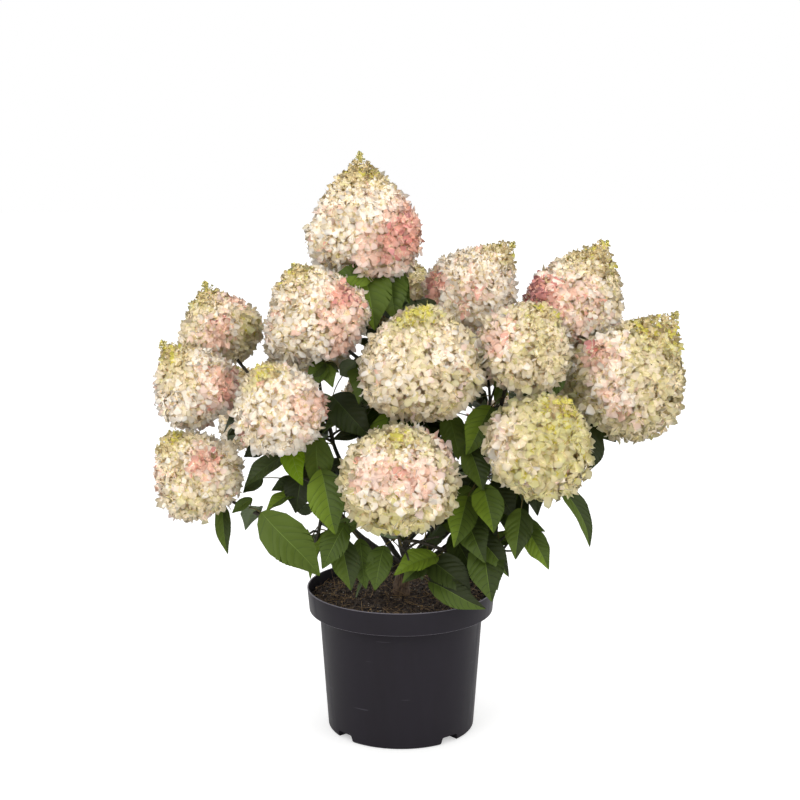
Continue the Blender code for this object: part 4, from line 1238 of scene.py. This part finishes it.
def pot_profile(s, height, rim):
    """The pot's section from the middle of its underside round to that of its floor: radius and height."""
    step = height - s.collar
    edge, foot, floor, foot_top = 1.0 * MM, 4.0 * MM, 3.0 * MM, 12.0 * MM
    lean = (s.body_radius - s.base_radius) / (step - foot)
    inside_foot = s.base_radius - 9.0 * MM
    outer = [(0.0, 0.0), (0.6 * inside_foot, 0.0)]
    outer += arc((s.base_radius - foot, foot), foot, -90, 0, 7)
    for share in (0.12, 0.5, 0.9):
        outer.append((s.base_radius + lean * (step - foot) * share, foot + (step - foot) * share))
    outer += [(s.body_radius, step - 1.2 * MM), (s.body_radius + 0.5 * MM, step - 0.3 * MM)]
    outer += [(s.body_radius + 1.5 * MM, step)]
    outer += arc((s.collar_radius - edge, step + edge), edge, -90, 0)
    outer += [((s.collar_radius + rim) / 2, (step + height) / 2)]
    outer += arc((rim - LIP, height - LIP), LIP, 0, 90)
    outer += arc((rim - s.wall + LIP, height - LIP), LIP, 90, 180)
    outer += [(s.collar_radius - s.wall, step + s.wall + 2 * MM), (s.body_radius, step + s.wall)]
    outer += [(s.body_radius - s.wall, step + s.wall - 2 * MM), (inside_foot + 7 * MM, foot_top)]
    outer += [(inside_foot, foot_top), (inside_foot, floor), (0.0, floor)]
    return outer


def pocket_cutter(s, turn):
    """A drain pocket: narrower at its top, open under the foot and at its outer end."""
    bm = bmesh.new()
    bmesh.ops.create_cube(bm, size=1.0)
    depth = s.pocket_depth + 9 * MM
    for vert in bm.verts:
        top = vert.co.z > 0
        vert.co.x *= s.pocket_width - (8 * MM if top else 0.0)
        vert.co.y = vert.co.y * depth - s.base_radius + s.pocket_depth - depth / 2
        vert.co.z = s.pocket_height if top else -5 * MM
    sides = [e for e in bm.edges if abs(e.verts[0].co.x - e.verts[1].co.x) < MM]
    edges = [e for e in sides if all(v.co.z > 0 for v in e.verts)]
    bmesh.ops.bevel(bm, geom=edges, offset=2 * MM, segments=3, profile=0.5, affect="EDGES", material=-1)
    bmesh.ops.rotate(bm, verts=bm.verts, cent=(0, 0, 0), matrix=Matrix.Rotation(turn, 3, "Z"))
    mesh = bpy.data.meshes.new("pocket")
    bm.to_mesh(mesh)
    bm.free()
    return new_piece("pocket", mesh)


def pot_finish(settings):
    material, nodes, shader = worked_finish("charcoal plastic")
    clouds = grain(nodes, (1.0, 1.0, 0.35), 9.0, 3.0, 0.35, 0.72)
    wear_and_highlight = grain(nodes, (1.0, 1.0, 0.12), 60.0, 5.0, 0.48, 0.78)
    scratch = grain(nodes, (0.25, 0.25, 3.2), 55.0, 2.0, 0.715, 0.75)
    tint = blend(nodes, spread(nodes, clouds, 0.0, 0.45), settings.charcoal, settings.worn)
    tint = blend(nodes, spread(nodes, wear_and_highlight, 0.0, 0.35), tint, settings.worn)
    tint = blend(nodes, spread(nodes, scratch, 0.0, 0.55), tint, settings.scuff)
    nodes.link(tint, shader, "Base Color")
    nodes.link(spread(nodes, wear_and_highlight, 0.36, 0.52), shader, "Roughness")
    shader.inputs["Specular IOR Level"].default_value = 0.13
    fine = grain(nodes, (1.0, 1.0, 1.0), 1400.0, 2.0, 0.3, 0.7)
    bumped(nodes, shader, fine, 0.06 * MM, 0.35)
    return material


class HYDRANGEA_OT_pot(bpy.types.Operator):
    """Turn the pot and cut its drain pockets"""

    bl_idname = "hydrangea.pot"
    bl_label = "Pot"

    def execute(self, context):
        settings = context.scene.hydrangea_pot
        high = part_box("pot")[1]
        pot = turned("plastic_pot", pot_profile(settings, high.z, high.x), POT_STEPS)
        cutters = [pocket_cutter(settings, FIRST_POCKET + k * math.tau / POCKETS) for k in range(POCKETS)]
        for cutter in cutters:
            cut = pot.modifiers.new("pocket", "BOOLEAN")
            cut.operation = "DIFFERENCE"
            cut.solver = "EXACT"
            cut.object = cutter
        bpy.context.view_layer.update()
        seen = pot.evaluated_get(bpy.context.evaluated_depsgraph_get())
        finished = bpy.data.meshes.new_from_object(seen)
        pot.modifiers.clear()
        pot.data = finished
        for cutter in cutters:
            bpy.data.objects.remove(cutter)
        finished.materials.clear()
        finished.materials.append(pot_finish(settings))
        # Painted highlight: the rounded lip and the collar's lower edge take a paler plastic for the light
        # they catch.
        wear_and_highlight = plain_finish("plastic edge with painted highlight", settings.edge, 0.45, specular_ior_level=0.2)
        finished.materials.append(wear_and_highlight)
        step = high.z - settings.collar
        for face in finished.polygons:
            level = face.center.z
            outside = math.hypot(face.center.x, face.center.y) > settings.collar_radius - MM
            collar_edge_highlight = outside and step + 0.1 * MM < level < step + 0.8 * MM
            face.material_index = int(collar_edge_highlight or level > high.z - LIP)
        settle(pot, "pot_plastic", "pot")
        return {"FINISHED"}


def peat_height(x, y):
    """How far the loose surface stands over the soil's level."""
    broad = noise.noise((x * 22, y * 22, 1.0)) * 2.2 * MM
    lumps = noise.noise((x * 90, y * 90, 4.0)) * 1.5 * MM
    return broad + lumps + abs(noise.noise((x * 260, y * 260, 9.0))) * 1.3 * MM


def peat_finish(settings):
    material, nodes, shader = worked_finish("peat")
    lumps = grain(nodes, (1.0, 1.0, 1.0), 160.0, 8.0, 0.40, 0.62)
    specks = grain(nodes, (1.0, 1.0, 1.0), 900.0, 3.0, 0.60, 0.72)
    tint = blend(nodes, lumps, settings.dark, settings.brown)
    tint = blend(nodes, spread(nodes, specks, 0.0, 0.6), tint, settings.straw)
    nodes.link(tint, shader, "Base Color")
    nodes.link(spread(nodes, lumps, 1.0, 0.8), shader, "Roughness")
    bumped(nodes, shader, lumps, 1.2 * MM, 0.9)
    return material


class HYDRANGEA_OT_peat(bpy.types.Operator):
    """Lay the peat with its crumbs, straws and grit"""

    bl_idname = "hydrangea.peat"
    bl_label = "Peat"

    def execute(self, context):
        settings = context.scene.hydrangea_peat
        low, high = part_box("soil")
        radius, top, floor = high.x, high.z, low.z
        rings = [k / PEAT_RINGS for k in range(PEAT_RINGS + 1)]
        profile = [(radius * share, top - PEAT_DROP * share**4) for share in rings]
        profile += [(0.97 * radius, top - 20 * MM), (0.86 * radius, top - 22 * MM)]
        profile += [(0.70 * radius, floor), (0.0, floor)]
        peat = turned("peat", profile, PEAT_STEPS)
        for vert in peat.data.vertices:
            if vert.co.z > top - PEAT_DROP - MM:
                inner = 1.0 - smooth_step(0.97, 1.0, math.hypot(vert.co.x, vert.co.y) / radius)
                vert.co.z += peat_height(vert.co.x, vert.co.y) * inner
        peat.data.materials.append(peat_finish(settings))
        settle(peat, "soil", "soil")
        self.litter(settings, radius, top)
        return {"FINISHED"}

    def litter(self, settings, radius, top):
        """Crumbs, grit, straws and fibres lying on the peat."""
        rng = np.random.default_rng(LITTER_SEED)
        finishes = [plain_finish("crumb " + name, getattr(settings, name), 0.9) for name in LITTER]
        dark, brown, straw, grit = range(len(LITTER))
        work = Patchwork()

        def scatter(count):
            out = radius * 0.965 * np.sqrt(rng.random(count))
            around = rng.uniform(0.0, math.tau, count)
            x, y = out * np.cos(around), out * np.sin(around)
            z = np.array([top + peat_height(a, b) for a, b in zip(x, y)])
            return np.stack((x, y, z), 1)

        where = scatter(settings.crumbs)
        count = len(where)
        stones = rng.random(count) < 0.05
        slots = np.where(stones, grit, rng.choice((dark, brown, straw), count, p=(0.5, 0.43, 0.07)))
        big = np.where(stones, rng.uniform(0.4, 1.0, count), rng.uniform(0.5, 2.0, count) ** 1.2) * MM
        add_beads(work, where, unit(rng.normal(0, 1, where.shape)), big, slots)
        start = scatter(settings.fibres)
        way = unit(rng.normal(0.0, 1.0, start.shape) * np.array((1.0, 1.0, 0.28)))
        way[:, 2] = np.abs(way[:, 2])
        long = rng.uniform(5, 26, len(start)) * MM
        end = start + way * long[:, None]
        inside = np.hypot(end[:, 0], end[:, 1]) < radius * LITTER_REACH
        start, end = start[inside], end[inside]
        count = len(start)
        sag = 0.12 * np.linalg.norm(end - start, axis=1)[:, None]
        bow = (start + end) / 2 + unit(rng.normal(0, 1, start.shape)) * sag
        bow[:, 2] = np.maximum(bow[:, 2], top)
        thick = rng.uniform(0.18, 0.5, count) * MM
        slots = rng.choice((brown, straw, straw), count)
        add_straws(work, start, bow, thick, slots)
        add_straws(work, bow, end, thick * 0.8, slots)
        settle(work.piece("peat_litter", finishes), "soil")


# ---------------------------------------------------------------- stage


class HYDRANGEA_OT_stage(bpy.types.Operator):
    """Lay a pale floor, hang soft lights and place the camera"""

    bl_idname = "hydrangea.stage"
    bl_label = "Stage"

    def execute(self, context):
        settings = context.scene.hydrangea_stage
        scene = context.scene
        bm = bmesh.new()
        bmesh.ops.create_circle(bm, cap_ends=True, segments=96, radius=14.0)
        mesh = bpy.data.meshes.new("floor")
        bm.to_mesh(mesh)
        bm.free()
        floor = new_piece("floor", mesh)
        mesh.materials.append(self.paper(settings))
        self.lights(scene, settings)
        self.world(scene, settings)
        camera = bpy.data.cameras.new("camera")
        camera.lens, camera.sensor_width = EYE_LENS, SENSOR
        eye = bpy.data.objects.new("camera", camera)
        scene.collection.objects.link(eye)
        eye.location = EYE
        eye.rotation_euler = (math.pi / 2 - EYE_PITCH, 0.0, 0.0)
        scene.camera = eye
        scene.view_settings.view_transform = "Standard"
        return {"FINISHED"}

    def paper(self, settings):
        """White paper: lit through from below to the eye, but dimmer to the plant that stands on it."""
        material, nodes, shader = worked_finish("floor")
        seen = nodes.add("ShaderNodeLightPath").outputs["Is Camera Ray"]
        shader.inputs["Base Color"].default_value = (*settings.floor, 1.0)
        shader.inputs["Roughness"].default_value = 0.8
        shader.inputs["Specular IOR Level"].default_value = 0.0
        shader.inputs["Emission Color"].default_value = WHITE
        nodes.link(spread(nodes, seen, 0.0, settings.glow), shader, "Emission Strength")
        return material

    def lights(self, scene, settings):
        """A key and a fill in front and a weaker light behind, all aimed at the crown."""
        aim = Vector((0.0, 0.0, 0.42))
        for name, place, watts, side in (
            ("key", (-1.3, -1.7, 2.0), settings.key, 1.3),
            ("fill", (1.7, -1.3, 1.7), settings.fill, 1.4),
            ("rim", (0.6, 2.0, 1.9), 0.6 * settings.fill, 1.2),
        ):
            light = bpy.data.lights.new(name, "AREA")
            light.energy, light.size = watts, side
            lamp = bpy.data.objects.new(name, light)
            lamp.location = place
            lamp.rotation_euler = (aim - Vector(place)).to_track_quat("-Z", "Y").to_euler()
            scene.collection.objects.link(lamp)

    def world(self, scene, settings):
        """White all round to the eye, and a soft even light on the plant."""
        scene.world = bpy.data.worlds.new("studio")
        scene.world.use_nodes = True
        nodes = Nodes(scene.world.node_tree)
        background = scene.world.node_tree.nodes["Background"]
        seen = nodes.add("ShaderNodeLightPath").outputs["Is Camera Ray"]
        background.inputs["Color"].default_value = WHITE
        nodes.link(spread(nodes, seen, settings.ambient, 1.0), background, "Strength")


# ---------------------------------------------------------------- panel and start

STEPS = (
    HYDRANGEA_OT_pot, HYDRANGEA_OT_peat, HYDRANGEA_OT_limbs, HYDRANGEA_OT_leaves, HYDRANGEA_OT_heads,
    HYDRANGEA_OT_stage,
)
GROUPS = {
    "hydrangea_petals": PetalSettings, "hydrangea_leaves": LeafSettings, "hydrangea_bark": BarkSettings,
    "hydrangea_pot": PotSettings, "hydrangea_peat": PeatSettings, "hydrangea_stage": StageSettings,
}


class HYDRANGEA_PT_panel(bpy.types.Panel):
    """Sidebar panel with one button for each step and its settings"""

    bl_label = "Potted Hydrangea"
    bl_idname = "HYDRANGEA_PT_panel"
    bl_space_type = "VIEW_3D"
    bl_region_type = "UI"
    bl_category = "Hydrangea"

    def draw(self, context):
        for step in STEPS:
            self.layout.operator(step.bl_idname)
        for group, kind in GROUPS.items():
            box = self.layout.box()
            for key in kind.__annotations__:
                box.prop(getattr(context.scene, group), key)


def register():
    for kind in (*GROUPS.values(), *STEPS, HYDRANGEA_PT_panel):
        bpy.utils.register_class(kind)
    for group, kind in GROUPS.items():
        setattr(bpy.types.Scene, group, bpy.props.PointerProperty(type=kind))


def unregister():
    for group in GROUPS:
        delattr(bpy.types.Scene, group)
    for kind in reversed((*GROUPS.values(), *STEPS, HYDRANGEA_PT_panel)):
        bpy.utils.unregister_class(kind)


def main():
    register()
    bpy.ops.hydrangea.pot()
    bpy.ops.hydrangea.peat()
    bpy.ops.hydrangea.limbs()
    bpy.ops.hydrangea.leaves()
    bpy.ops.hydrangea.heads()
    bpy.ops.hydrangea.stage()


if __name__ == "__main__":
    main()
